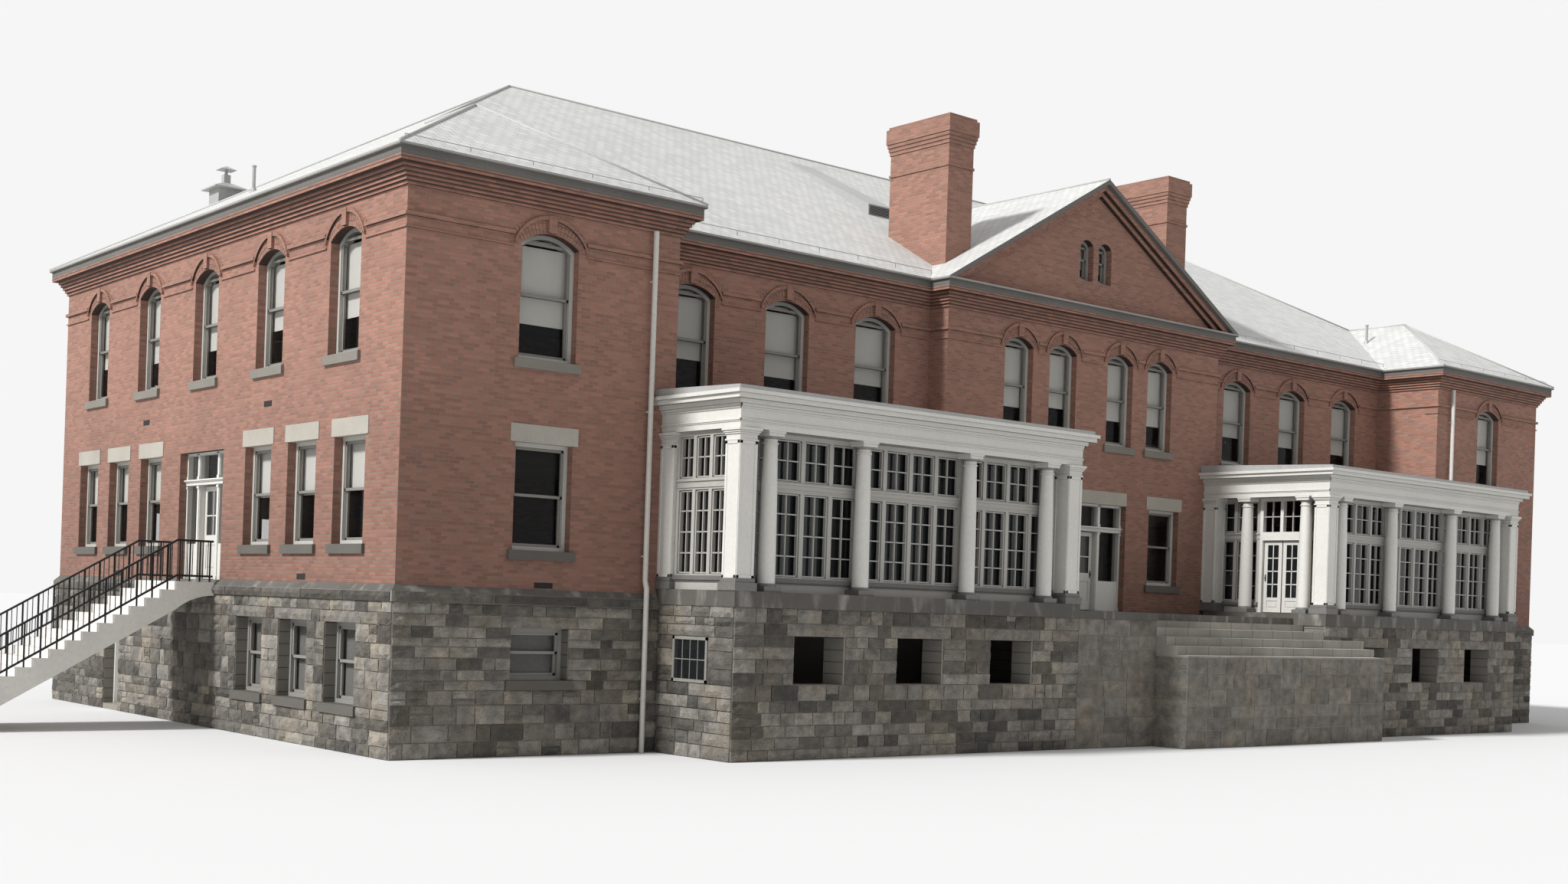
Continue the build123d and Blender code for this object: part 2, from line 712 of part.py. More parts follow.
# Roof: hipped volumes of one pitch, hollowed to a shell
def hip_volume(x0, x1, y0, y1, drop):
    """A hipped roof volume over a rectangle, lowered by drop."""
    low = CORNICE_TOP
    rise_y = (y1 - y0) / 2 * SLOPE
    long_way = slab_yz([(y0, low - drop), (y1, low - drop), ((y0 + y1) / 2, low - drop + rise_y)], x0, x1)
    rise_x = (x1 - x0) / 2 * SLOPE
    cross_way = slab_xz([(x0, low - drop), (x1, low - drop), ((x0 + x1) / 2, low - drop + rise_x)], y0, y1)
    return long_way & cross_way


def wing_volume(drop):
    """The front end of a wing roof, hipped at the front only."""
    x0 = -HALF_LENGTH - GUTTER_OUT
    x1 = -WING_INNER + GUTTER_OUT
    y0 = -GUTTER_OUT
    low = CORNICE_TOP - drop
    rise = (x1 - x0) / 2 * SLOPE
    back = SETBACK + (x1 - x0) / 2
    across = slab_xz([(x0, low), (x1, low), ((x0 + x1) / 2, low + rise)], y0, back)
    front = slab_yz([(y0, low), (back, low), (back, low + (back - y0) * SLOPE)], x0, x1)
    return across & front


def pavilion_volume(drop):
    half = PAVILION_HALF + GUTTER_OUT
    low = CORNICE_TOP - drop
    back = SETBACK - GUTTER_OUT + half
    return slab_xz([(-half, low), (half, low), (0, low + half * SLOPE)], PAVILION_FRONT - GUTTER_OUT, back)


def roof_shells():
    reach = HALF_LENGTH + GUTTER_OUT
    main = hip_volume(-reach, reach, SETBACK - GUTTER_OUT, DEPTH + GUTTER_OUT, 0)
    main_in = hip_volume(-reach, reach, SETBACK - GUTTER_OUT, DEPTH + GUTTER_OUT, ROOF_SHELL)
    wing = wing_volume(0)
    wing_in = wing_volume(ROOF_SHELL)
    pavilion = pavilion_volume(0)
    pavilion_in = pavilion_volume(ROOF_SHELL)
    below = block(-2 * reach, 2 * reach, -2 * reach, 2 * reach, 0, CORNICE_TOP)
    outer = main + wing + mirrored(wing)
    shell = outer - main_in - wing_in - mirrored(wing_in) - pavilion_in - below
    gable = pavilion - outer - pavilion_in - main_in - below
    gable -= Pos(0, PAVILION_FRONT, 0) * block(-reach, reach, -GUTTER_OUT - 1, WALL, CORNICE_TOP, CORNICE_TOP + 1)
    return shell, gable


def gable_cornice():
    """Raking cornice on the pavilion gable, in two steps under the roof edge."""
    half = PAVILION_HALF + GUTTER_OUT
    low = CORNICE_TOP - ROOF_SHELL
    pieces = []
    for out, drop in GABLE_CORNICE_STEPS:
        top = half * SLOPE + low
        outer = slab_xz([(-half, low), (half, low), (0, top)], PAVILION_FRONT - out, PAVILION_FRONT)
        inner = slab_xz([(-half, low - drop), (half, low - drop), (0, top - drop)],
                        PAVILION_FRONT - out - 1, PAVILION_FRONT + 1)
        below = block(-2 * half, 2 * half, -HALF_LENGTH, HALF_LENGTH, 0, CORNICE_TOP)
        pieces.append(outer - inner - below)
    return pieces[0] + pieces[1]


# Chimneys rise at the eaves beside the gable, with a corbelled head
def chimney(x):
    x0 = x - CHIMNEY_WIDTH / 2
    x1 = x + CHIMNEY_WIDTH / 2
    y0 = CHIMNEY_NEAR
    y1 = CHIMNEY_NEAR + CHIMNEY_DEPTH
    top = BASE_HEIGHT + CHIMNEY_TOP

    def course(out, low, high):
        return block(x0 - out, x1 + out, y0 - out, y1 + out, low, high)

    shaft = block(x0, x1, y0, y1, CORNICE_TOP, top)
    string = top - CHIMNEY_STRING_DROP
    shaft += course(CHIMNEY_STRING_PROUD, string, string + CHIMNEY_STRING_HEIGHT)
    low = top - CHIMNEY_HEAD
    for k in range(CHIMNEY_CORBELS):
        shaft += course(CHIMNEY_CAP * (k + 1) / CHIMNEY_CORBELS, low, low + CHIMNEY_COURSE)
        low += CHIMNEY_COURSE
    shaft += course(CHIMNEY_CAP, low, top - CHIMNEY_LAST_COURSE)
    shaft += course(CHIMNEY_CAP / 2, top - CHIMNEY_LAST_COURSE, top)
    shaft -= block(x0 + CHIMNEY_WALL, x1 - CHIMNEY_WALL, y0 + CHIMNEY_WALL, y1 - CHIMNEY_WALL,
                   top - CHIMNEY_POT, top + 1)
    return shaft


def roof_dormer():
    """A low louvred wedge that runs down the front slope from under the ridge."""
    eaves_y = SETBACK - GUTTER_OUT
    foot = CORNICE_TOP + (DORMER_FACE - eaves_y) * SLOPE
    outline = [(DORMER_FACE, foot), (DORMER_FACE, foot + DORMER_HEIGHT),
               (DORMER_FACE + DORMER_LENGTH, foot + DORMER_LENGTH * SLOPE)]
    return slab_yz(outline, -DORMER_PLACE - DORMER_WIDTH / 2, -DORMER_PLACE + DORMER_WIDTH / 2)


def roof_ventilator():
    """Sheet-metal ventilator with a pagoda cap, over the rear hip."""
    reach = HALF_LENGTH + GUTTER_OUT
    x = -reach + VENT_FROM_EAVES
    y = DEPTH + GUTTER_OUT - VENT_FROM_BACK
    half = VENT_SIZE / 2
    top = CORNICE_TOP + VENT_TOP
    body = block(x - half, x + half, y - half, y + half, CORNICE_TOP, top)
    body -= hip_volume(-reach, reach, SETBACK - GUTTER_OUT, DEPTH + GUTTER_OUT, 0)
    eave = half + VENT_BRIM
    brim_top = top + VENT_BRIM_THICK
    body += block(x - eave, x + eave, y - eave, y + eave, top, brim_top)
    body += Pos(x, y, brim_top) * pyramid(2 * eave, VENT_NECK, VENT_CAP_HEIGHT)
    z = brim_top + VENT_CAP_HEIGHT
    for side, height in ((VENT_NECK, VENT_NECK_HEIGHT), (VENT_POST, VENT_POST_HEIGHT)):
        body += block(x - side / 2, x + side / 2, y - side / 2, y + side / 2, z, z + height)
        z += height
    return body + Pos(x, y, z) * pyramid(VENT_HAT, VENT_POST / 2, VENT_HAT_HEIGHT)


def pyramid(low_side, high_side, height):
    base = Rectangle(low_side, low_side)
    top = Pos(0, 0, height) * Rectangle(high_side, high_side)
    return loft([base.face(), top.face()])


# Doors. A leaf is drawn closed, with u from its hinge edge and v into the building.
def leaf(width, height, u0, v0, z0, gap=DOOR_GAP):
    """A stile and rail leaf with a glazed field above and a panel below, drawn up to gap from its frame."""
    grow = DOOR_GAP - gap
    u0, z0 = u0 - grow, z0 - grow
    width, height = width + 2 * grow, height + 2 * grow
    body = block(u0, u0 + width, v0, v0 + DOOR_LEAF_THICK, z0, z0 + height)
    split = z0 + height * LEAF_LOCK_PART
    fields = ((z0 + 2 * LEAF_STILE, split - LEAF_STILE), (split + LEAF_STILE, z0 + height - LEAF_STILE))
    for low, high in fields:
        for v in (v0 - 1, v0 + DOOR_LEAF_THICK - LEAF_SINK):
            body -= block(u0 + LEAF_STILE, u0 + width - LEAF_STILE, v, v + LEAF_SINK + 1, low, high)
    return body


def door_frame(opening, leaf_width, low, head, depth, v0, threshold=0):
    """Outer frame, transom bar, two mullions beside the leaf and low panels under the sidelights."""
    half = opening / 2
    v1 = v0 + depth
    frame = block(-half, half, v0, v1, low, head)
    mullion = leaf_width / 2 + DOOR_GAP
    post = mullion + DOOR_FRAME
    bar_low = low + DOOR_LEAF_HEIGHT + 2 * DOOR_GAP
    bar_high = bar_low + TRANSOM_HEIGHT
    panel_top = low + SIDELIGHT_PANEL
    frame -= block(-mullion, mullion, v0 - 1, v1 + 1, low - 1, bar_low)
    for s in (-1, 1):
        frame -= block(s * post, s * (half - DOOR_FRAME / 2), v0 - 1, v1 + 1, panel_top, bar_low)
        frame -= block(s * post, s * (half - DOOR_FRAME / 2), v0 - 1, v1 + 1, bar_high, head - DOOR_FRAME / 2)
    frame -= block(-mullion, mullion, v0 - 1, v1 + 1, bar_high, head - DOOR_FRAME / 2)
    return frame


def door_glass(opening, leaf_width, low, head, v0):
    """Panes of the sidelights and the transom lights, set in the frame's thickness."""
    half = opening / 2 - DOOR_FRAME / 2
    mullion = leaf_width / 2 + DOOR_GAP
    post = mullion + DOOR_FRAME
    bar_low = low + DOOR_LEAF_HEIGHT + 2 * DOOR_GAP
    bar_high = bar_low + TRANSOM_HEIGHT
    panel_top = low + SIDELIGHT_PANEL
    panes = []
    for s in (-1, 1):
        panes.append(block(s * post, s * half, v0, v0 + GLASS, panel_top, bar_low))
        panes.append(block(s * post, s * half, v0, v0 + GLASS, bar_high, head - DOOR_FRAME / 2))
    panes.append(block(-mullion, mullion, v0, v0 + GLASS, bar_high, head - DOOR_FRAME / 2))
    return panes


def side_door_frame():
    frame = door_frame(SIDE_DOOR_OPENING, SIDE_DOOR_WIDTH, GROUND_FLOOR, BASE_HEIGHT + DOOR_HEAD,
                       DOOR_FRAME_DEPTH, DOOR_FRAME_SETBACK)
    return LEFT_TURN * frame


def side_door_glass():
    panes = door_glass(SIDE_DOOR_OPENING, SIDE_DOOR_WIDTH, GROUND_FLOOR, BASE_HEIGHT + DOOR_HEAD,
                       DOOR_FRAME_SETBACK + DOOR_FRAME_DEPTH / 2)
    return gathered([LEFT_TURN * pane for pane in panes])


def leaf_v():
    """The leaf sits at the inner edge of the frame."""
    return DOOR_FRAME_SETBACK + DOOR_FRAME_DEPTH - DOOR_LEAF_THICK


def side_door(gap=DOOR_GAP):
    return LEFT_TURN * leaf(SIDE_DOOR_WIDTH, DOOR_LEAF_HEIGHT, -SIDE_DOOR_WIDTH / 2, leaf_v(),
                            GROUND_FLOOR + DOOR_GAP, gap)


def main_door_frame():
    frame = door_frame(MAIN_DOOR_OPENING, MAIN_DOOR_WIDTH, GROUND_FLOOR, BASE_HEIGHT + DOOR_HEAD,
                       DOOR_FRAME_DEPTH, DOOR_FRAME_SETBACK)
    return Pos(0, PAVILION_FRONT, 0) * frame


def main_door_glass():
    panes = door_glass(MAIN_DOOR_OPENING, MAIN_DOOR_WIDTH, GROUND_FLOOR, BASE_HEIGHT + DOOR_HEAD,
                       DOOR_FRAME_SETBACK + DOOR_FRAME_DEPTH / 2)
    return gathered([Pos(0, PAVILION_FRONT, 0) * pane for pane in panes])


def main_door():
    body = leaf(MAIN_DOOR_WIDTH, DOOR_LEAF_HEIGHT, -MAIN_DOOR_WIDTH / 2, leaf_v(), GROUND_FLOOR + DOOR_GAP)
    return Pos(0, PAVILION_FRONT, 0) * body


def cellar_door_frame():
    u = DEPTH / 2 - CELLAR_DOOR_PLACE
    half = CELLAR_DOOR_OPENING / 2
    head = BASE_HEIGHT - CELLAR_HEAD
    v0 = REVEAL
    frame = block(u - half, u + half, v0, v0 + DOOR_FRAME_DEPTH, CELLAR_FLOOR, head)
    frame -= block(u - half + FRAME_FACE, u + half - FRAME_FACE, v0 - 1, v0 + DOOR_FRAME_DEPTH + 1,
                   CELLAR_FLOOR - 1, head - CELLAR_LEAF_HEAD_FRAME)
    return LEFT_TURN * frame


def cellar_door(gap=DOOR_GAP):
    u = DEPTH / 2 - CELLAR_DOOR_PLACE
    width = CELLAR_DOOR_OPENING - 2 * FRAME_FACE - 2 * DOOR_GAP
    height = BASE_HEIGHT - CELLAR_HEAD - CELLAR_LEAF_HEAD_FRAME - CELLAR_FLOOR - 2 * DOOR_GAP
    v0 = REVEAL + DOOR_FRAME_DEPTH - DOOR_LEAF_THICK
    return LEFT_TURN * leaf(width, height, u - width / 2, v0, CELLAR_FLOOR + DOOR_GAP, gap)


# Side stair: a masonry flight at right angles to the wall, with an arched passage under the landing
def side_stair():
    """Landing and flight as one slab that is stepped above and open below, arched up to the wall."""
    x_wall = -HALF_LENGTH - TABLE_PROUD
    x_edge = -HALF_LENGTH - LANDING_DEPTH
    x_end = -HALF_LENGTH - STAIR_RUN
    y = DEPTH / 2 - STAIR_WIDTH / 2
    fall = RISER / STAIR_TREAD
    tops = [(x_wall, y, LANDING), (x_edge, y, LANDING)]
    for k in range(STAIR_RISERS - 1):
        x, z = tops[-1][0], tops[-1][2] - RISER
        tops += [(x, y, z), (x - STAIR_TREAD, y, z)]
    tops.append((x_end, y, 0))
    toe = x_end + (STAIR_WAIST - RISER) / fall
    tops.append((toe, y, 0))
    haunch = (x_edge, y, LANDING - STAIR_WAIST)
    tops.append(haunch)
    spring = (x_wall, y, LANDING - STAIR_SOFFIT)
    middle = ((x_edge * 0.6 + x_wall * 0.4), y, LANDING - STAIR_WAIST * 0.65)
    outline = Polyline(tops) + ThreePointArc(haunch, middle, spring) + Line(spring, tops[0])
    return extrude(make_face(outline), amount=STAIR_WIDTH, dir=(0, 1, 0))


def stair_rail(y):
    """Square-bar balustrade beside the flight and the landing."""
    bars = []
    x_wall = -HALF_LENGTH - TABLE_PROUD - 5
    x_edge = -HALF_LENGTH - LANDING_DEPTH + BALUSTER
    x_end = -HALF_LENGTH - STAIR_RUN
    drop = (STAIR_RISERS - 1) * RISER
    half = RAIL_BAR / 2
    top = LANDING + RAIL_HEIGHT
    low = LANDING + 70
    for z in (low, top):
        bars.append(block(x_edge, x_wall, y - half, y + half, z - RAIL_BAR, z))
        slope = [(x_edge, z - RAIL_BAR), (x_edge, z), (x_end + STAIR_TREAD / 2, z - drop),
                 (x_end + STAIR_TREAD / 2, z - drop - RAIL_BAR)]
        bars.append(slab_xz(slope, y - half, y + half))
    solid = bars[0]
    for bar in bars[1:]:
        solid = solid + bar
    for k in range(4):
        x = x_wall - 30 - k * (x_wall - x_edge - 60) / 3
        solid += block(x - BALUSTER / 2, x + BALUSTER / 2, y - BALUSTER / 2, y + BALUSTER / 2, LANDING, top - 5)
    for k in range(STAIR_RISERS - 1):
        x = -HALF_LENGTH - LANDING_DEPTH - STAIR_TREAD * (k + 0.5)
        z = LANDING - RISER * (k + 1)
        rail_z = top - (x_edge - x) / (x_edge - x_end - STAIR_TREAD / 2) * drop
        solid += block(x - BALUSTER / 2, x + BALUSTER / 2, y - BALUSTER / 2, y + BALUSTER / 2, z, rail_z - 8)
    return solid


def side_stair_rails():
    y0 = DEPTH / 2 - STAIR_WIDTH / 2 + 40
    y1 = DEPTH / 2 + STAIR_WIDTH / 2 - 40
    return gathered([stair_rail(y0), stair_rail(y1)])


# Porches. The left porch is drawn round its own centre, then moved; the right one is its mirror image.
PORCH_AT = Pos(-PORCH_CENTRE, 0, 0)
PORCH_IN = PAVILION_FRONT
COLUMN_OFFSETS = [-(PORCH_HALF - PORCH_COLUMN_END), -PORCH_COLUMN_INNER, PORCH_COLUMN_INNER,
                  PORCH_HALF - PORCH_COLUMN_END]
PORCH_BAYS = [(-PORCH_HALF + PORCH_COLUMN_END, -PORCH_COLUMN_INNER), (-PORCH_COLUMN_INNER, PORCH_COLUMN_INNER),
              (PORCH_COLUMN_INNER, PORCH_HALF - PORCH_COLUMN_END)]
BASE_COURSE_LOW = BASE_HEIGHT - PORCH_BASE_DROP
PORCH_FLOOR_Z = BASE_HEIGHT + PORCH_FLOOR


def porch_cellar_cut(x):
    """Basement window in the porch base, with reveals that widen outwards."""
    head = BASE_HEIGHT - CELLAR_HEAD
    low = head - PORCH_CELLAR_HEIGHT
    w = PORCH_CELLAR_WIDTH / 2
    flare = 70
    y0 = -PORCH_FRONT - 30
    y1 = -PORCH_FRONT + PORCH_WALL + 1
    outline = [(x - w - flare, y0), (x + w + flare, y0), (x + w, y1), (x - w, y1)]
    return slab_xy(outline, low, head)


def porch_base_front():
    body = block(-PORCH_HALF, PORCH_HALF, -PORCH_FRONT, -PORCH_FRONT + PORCH_WALL, 0, PORCH_FLOOR_Z)
    body += block(-PORCH_HALF - PORCH_BASE_PROUD, PORCH_HALF + PORCH_BASE_PROUD,
                  -PORCH_FRONT - PORCH_BASE_PROUD, -PORCH_FRONT + PORCH_WALL, BASE_COURSE_LOW, PORCH_FLOOR_Z)
    for x0, x1 in PORCH_BAYS:
        body -= porch_cellar_cut((x0 + x1) / 2)
    return PORCH_AT * body


def porch_base_end(x, inward, back):
    """End wall of the porch base, from the front wall back to the building."""
    y0 = -PORCH_FRONT + PORCH_WALL
    body = block(x, x + inward * PORCH_WALL, y0, back, 0, PORCH_FLOOR_Z)
    body += block(x - inward * PORCH_BASE_PROUD, x, y0, back, BASE_COURSE_LOW, PORCH_FLOOR_Z)
    return body


def porch_outer_base_end():
    body = porch_base_end(-PORCH_HALF, 1, -TABLE_PROUD)
    return PORCH_AT * body


def porch_inner_base_end():
    return PORCH_AT * porch_base_end(PORCH_HALF, -1, PORCH_IN - TABLE_PROUD)


def porch_floor():
    """Floor slab inside the porch base walls."""
    x0 = -PORCH_HALF + PORCH_WALL
    x1 = PORCH_HALF - PORCH_WALL
    wing_x = -WING_INNER + PORCH_CENTRE + TABLE_PROUD
    pavilion_x = -PAVILION_HALF + PORCH_CENTRE - TABLE_PROUD
    y0 = -PORCH_FRONT + PORCH_WALL
    back = SETBACK - STONE_PROUD
    outline = [(x0, y0), (x1, y0), (x1, PORCH_IN - TABLE_PROUD), (pavilion_x, PORCH_IN - TABLE_PROUD),
               (pavilion_x, back), (wing_x, back), (wing_x, -TABLE_PROUD), (x0, -TABLE_PROUD)]
    return PORCH_AT * slab_xy(outline, PORCH_FLOOR_Z - FLOOR_SLAB, PORCH_FLOOR_Z)


def column(x, y):
    """A round column with a slight taper, on a square plinth, under a ring and a square cap."""
    low = PORCH_FLOOR_Z
    high = BASE_HEIGHT + PORCH_BEAM_BOTTOM
    half = COLUMN_PLINTH / 2
    body = block(x - half, x + half, y - half, y + half, low, low + COLUMN_PLINTH_HEIGHT)
    shaft_low = low + COLUMN_PLINTH_HEIGHT
    shaft_high = high - PORCH_CAPITAL
    middle = (shaft_low + shaft_high) / 2
    side = Polyline([(COLUMN_TOP_RADIUS, shaft_high), (0, shaft_high), (0, shaft_low),
                     (COLUMN_RADIUS, shaft_low)])
    taper = (COLUMN_RADIUS + COLUMN_TOP_RADIUS) / 2 + 5
    side += ThreePointArc((COLUMN_RADIUS, shaft_low), (taper, middle), (COLUMN_TOP_RADIUS, shaft_high))
    shaft = revolve(make_face(Plane.XZ * side), axis=Axis.Z)
    body += Pos(x, y, 0) * shaft
    cap = COLUMN_TOP_RADIUS + 28
    body += block(x - cap, x + cap, y - cap, y + cap, high - PORCH_CAPITAL, high)
    return body


def corner_pier(x, y0, y1, width):
    """A square pilaster from the floor to the beam."""
    return block(x, x + width, y0, y1, PORCH_FLOOR_Z, BASE_HEIGHT + PORCH_BEAM_BOTTOM)


def porch_columns():
    pieces = []
    y = -PORCH_FRONT + PORCH_COLUMN_INSET
    for x in COLUMN_OFFSETS:
        pieces.append(column(x, y))
    inner_x = PORCH_HALF - PORCH_COLUMN_INSET
    for y in INNER_COLUMNS:
        pieces.append(column(inner_x, y))
    y0 = -PORCH_FRONT
    y1 = y0 + PORCH_PILASTER
    pieces.append(corner_pier(-PORCH_HALF, y0, y1, PORCH_PILASTER))
    pieces.append(corner_pier(PORCH_HALF - PORCH_PILASTER, y0, y1, PORCH_PILASTER))
    pieces.append(corner_pier(-PORCH_HALF, -PORCH_PILASTER, 0, PORCH_PILASTER))
    pieces.append(corner_pier(PORCH_HALF - PORCH_PILASTER, PORCH_IN - PORCH_PILASTER, PORCH_IN,
                              PORCH_PILASTER))
    return gathered([PORCH_AT * piece for piece in pieces])


INNER_COLUMNS = [y - PORCH_FRONT for y in PORCH_INNER_COLUMNS]


def screen(u0, u1, lights, low, v0):
    """A timber window screen: sill, transom bar and posts round its lights, in one piece."""
    v1 = v0 + PORCH_SCREEN_DEPTH
    high = BASE_HEIGHT + PORCH_BEAM_BOTTOM
    body = block(u0, u1, v0, v1, low, high)
    sill_z = BASE_HEIGHT + PORCH_SILL + PORCH_POST
    bar_low = BASE_HEIGHT + PORCH_TRANSOM_LOW
    bar_high = BASE_HEIGHT + PORCH_TRANSOM_HIGH
    pitch = (u1 - u0 - PORCH_POST) / lights
    for k in range(lights):
        a = u0 + PORCH_POST + k * pitch
        b = a + pitch - PORCH_POST
        body -= block(a, b, v0 - 1, v1 + 1, sill_z, bar_low)
        body -= block(a, b, v0 - 1, v1 + 1, bar_high, high - PORCH_POST)
    return body


def screen_glass(u0, u1, v0):
    """One sheet behind a screen."""
    low = BASE_HEIGHT + PORCH_SILL
    high = BASE_HEIGHT + PORCH_BEAM_BOTTOM
    return block(u0 + GLASS_GAP, u1 - GLASS_GAP, v0, v0 + GLASS, low, high - GLASS_GAP)


SCREEN_Y = -PORCH_FRONT + PORCH_PILASTER
OUTER_TURN = Pos(-PORCH_HALF, 0, 0) * Rot(0, 0, -90)
INNER_TURN = Pos(PORCH_HALF, 0, 0) * Rot(0, 0, 90)


def porch_screen_ends():
    """u limits of the screens on the outer and the inner face of the left porch."""
    outer = (PORCH_PILASTER, PORCH_FRONT - PORCH_PILASTER)
    door_low = PORCH_DOOR_CENTRE - PORCH_FRONT - PORCH_DOOR_OPENING / 2
    door_high = PORCH_DOOR_CENTRE - PORCH_FRONT + PORCH_DOOR_OPENING / 2
    front_light = (-PORCH_FRONT + PORCH_PILASTER + PORCH_SCREEN_DEPTH, door_low)
    rear_light = (door_high, PORCH_IN)
    return outer, front_light, rear_light, (door_low, door_high)


def porch_corner_post():
    """Closes the corner between the front screen and the end screen, behind the pilaster."""
    x0 = -PORCH_HALF + PORCH_END_RECESS + PORCH_SCREEN_DEPTH
    x1 = -PORCH_HALF + PORCH_PILASTER
    high = BASE_HEIGHT + PORCH_BEAM_BOTTOM
    return block(x0, x1, SCREEN_Y, SCREEN_Y + PORCH_SCREEN_DEPTH, PORCH_FLOOR_Z, high)


def porch_screens():
    pieces = []
    v = PORCH_PILASTER
    half = PORCH_HALF - PORCH_PILASTER
    front = screen(-half, half, PORCH_FRONT_LIGHTS, PORCH_FLOOR_Z, SCREEN_Y)
    pieces.append(front + porch_corner_post())
    outer, front_light, rear_light, door = porch_screen_ends()
    pieces.append(OUTER_TURN * screen(outer[0], outer[1], 3, PORCH_FLOOR_Z, PORCH_END_RECESS))
    pieces.append(INNER_TURN * screen(front_light[0], front_light[1], 1, PORCH_FLOOR_Z, v))
    pieces.append(INNER_TURN * screen(rear_light[0], rear_light[1], 2, PORCH_FLOOR_Z, v))
    return gathered([PORCH_AT * piece for piece in pieces])


def porch_glass():
    pieces = []
    v = PORCH_PILASTER + PORCH_SCREEN_DEPTH
    half = PORCH_HALF - PORCH_PILASTER - PORCH_SCREEN_DEPTH - 2 * GLASS
    pieces.append(screen_glass(-half, half, SCREEN_Y + PORCH_SCREEN_DEPTH))
    outer, front_light, rear_light, door = porch_screen_ends()
    end_v = PORCH_END_RECESS + PORCH_SCREEN_DEPTH
    pieces.append(OUTER_TURN * screen_glass(outer[0], outer[1] - PORCH_SCREEN_DEPTH, end_v))
    pieces.append(INNER_TURN * screen_glass(front_light[0], front_light[1], v))
    pieces.append(INNER_TURN * screen_glass(rear_light[0], rear_light[1], v))
    return gathered([PORCH_AT * piece for piece in pieces])


PORCH_LEAF_WIDTH = PORCH_DOOR_OPENING / 2 - PORCH_POST - 2 * DOOR_GAP


def porch_door_frame():
    """Frame round the pair of porch doors, with two transom lights above."""
    outer, front_light, rear_light, door = porch_screen_ends()
    v0 = PORCH_PILASTER
    v1 = v0 + PORCH_SCREEN_DEPTH
    high = BASE_HEIGHT + PORCH_BEAM_BOTTOM
    bar_low = BASE_HEIGHT + PORCH_TRANSOM_LOW
    bar_high = BASE_HEIGHT + PORCH_TRANSOM_HIGH
    body = block(door[0], door[1], v0, v1, PORCH_FLOOR_Z, high)
    body -= block(door[0] + PORCH_POST, door[1] - PORCH_POST, v0 - 1, v1 + 1, PORCH_FLOOR_Z - 1, bar_low)
    middle = (door[0] + door[1]) / 2
    for a, b in ((door[0] + PORCH_POST, middle - PORCH_POST / 2), (middle + PORCH_POST / 2, door[1] - PORCH_POST)):
        body -= block(a, b, v0 - 1, v1 + 1, bar_high, high - PORCH_POST)
    return PORCH_AT * (INNER_TURN * body)


def porch_leaf(side, gap=DOOR_GAP):
    """One leaf of the left porch's pair, side -1 nearer the front, drawn up to gap from its frame."""
    outer, front_light, rear_light, door = porch_screen_ends()
    v0 = PORCH_PILASTER + PORCH_SCREEN_DEPTH - DOOR_LEAF_THICK
    z0 = PORCH_FLOOR_Z + gap
    z1 = BASE_HEIGHT + PORCH_TRANSOM_LOW - gap
    hinge = door[0] + PORCH_POST + gap if side < 0 else door[1] - PORCH_POST - gap
    width = PORCH_LEAF_WIDTH + 2 * (DOOR_GAP - gap)
    u0 = min(hinge, hinge - side * width)
    body = block(u0, u0 + width, v0, v0 + DOOR_LEAF_THICK, z0, z1)
    for v in (v0 - 1, v0 + DOOR_LEAF_THICK - LEAF_SINK):
        for low, high in ((z0 + PORCH_LEAF_FIELD, z1 - LEAF_STILE), (z0 + LEAF_STILE, z0 + PORCH_LEAF_PANEL)):
            body -= block(u0 + LEAF_STILE, u0 + width - LEAF_STILE, v, v + LEAF_SINK + 1, low, high)
    return PORCH_AT * (INNER_TURN * body)


def porch_plate(out, z0, z1):
    x = PORCH_HALF + out
    y0 = -PORCH_FRONT - out
    plate = slab_xy([(-x, y0), (x, y0), (x, PORCH_IN), (-PAVILION_HALF + PORCH_CENTRE, PORCH_IN),
                     (-PAVILION_HALF + PORCH_CENTRE, SETBACK), (-WING_INNER + PORCH_CENTRE, SETBACK),
                     (-WING_INNER + PORCH_CENTRE, 0), (-x, 0)], z0, z1)
    return plate


def porch_entablature():
    """Beam and cornice round the three open sides of the porch."""
    beam_low = BASE_HEIGHT + PORCH_BEAM_BOTTOM
    beam_high = BASE_HEIGHT + PORCH_BEAM_TOP
    top = BASE_HEIGHT + PORCH_CORNICE_TOP
    ring = porch_plate(0, beam_low, beam_high)
    ring += porch_plate(40, beam_high, beam_high + 40)
    ring += porch_plate(PORCH_CORNICE_OUT - 25, beam_high + 40, top - 35)
    ring += porch_plate(PORCH_CORNICE_OUT, top - 35, top)
    x = PORCH_HALF - PORCH_BEAM_DEPTH
    ring -= block(-x, x, -PORCH_FRONT + PORCH_BEAM_DEPTH, DEPTH, beam_low - 1, top + 1)
    return PORCH_AT * ring


def porch_roof():
    """A low metal roof that rises a little towards the building."""
    low = BASE_HEIGHT + PORCH_CORNICE_TOP
    x = PORCH_HALF + PORCH_CORNICE_OUT - 40
    y0 = -PORCH_FRONT - PORCH_CORNICE_OUT + 40
    thick = 40
    profile = [(y0, low), (SETBACK, low), (SETBACK, low + PORCH_ROOF_RISE), (y0, low + thick)]
    roof = slab_yz(profile, -x, x)
    roof -= block(-2 * x, -WING_INNER + PORCH_CENTRE, 0, DEPTH, low - 1, low + EAVES)
    roof -= block(-PAVILION_HALF + PORCH_CENTRE, 2 * x, PORCH_IN, DEPTH, low - 1, low + EAVES)
    roof -= slab_yz([(y0 + 200, low - 1), (SETBACK + 1, low - 1), (SETBACK + 1, low + PORCH_ROOF_RISE - thick),
                     (y0 + 200, low)], -x + 200, x - 200)
    return PORCH_AT * roof


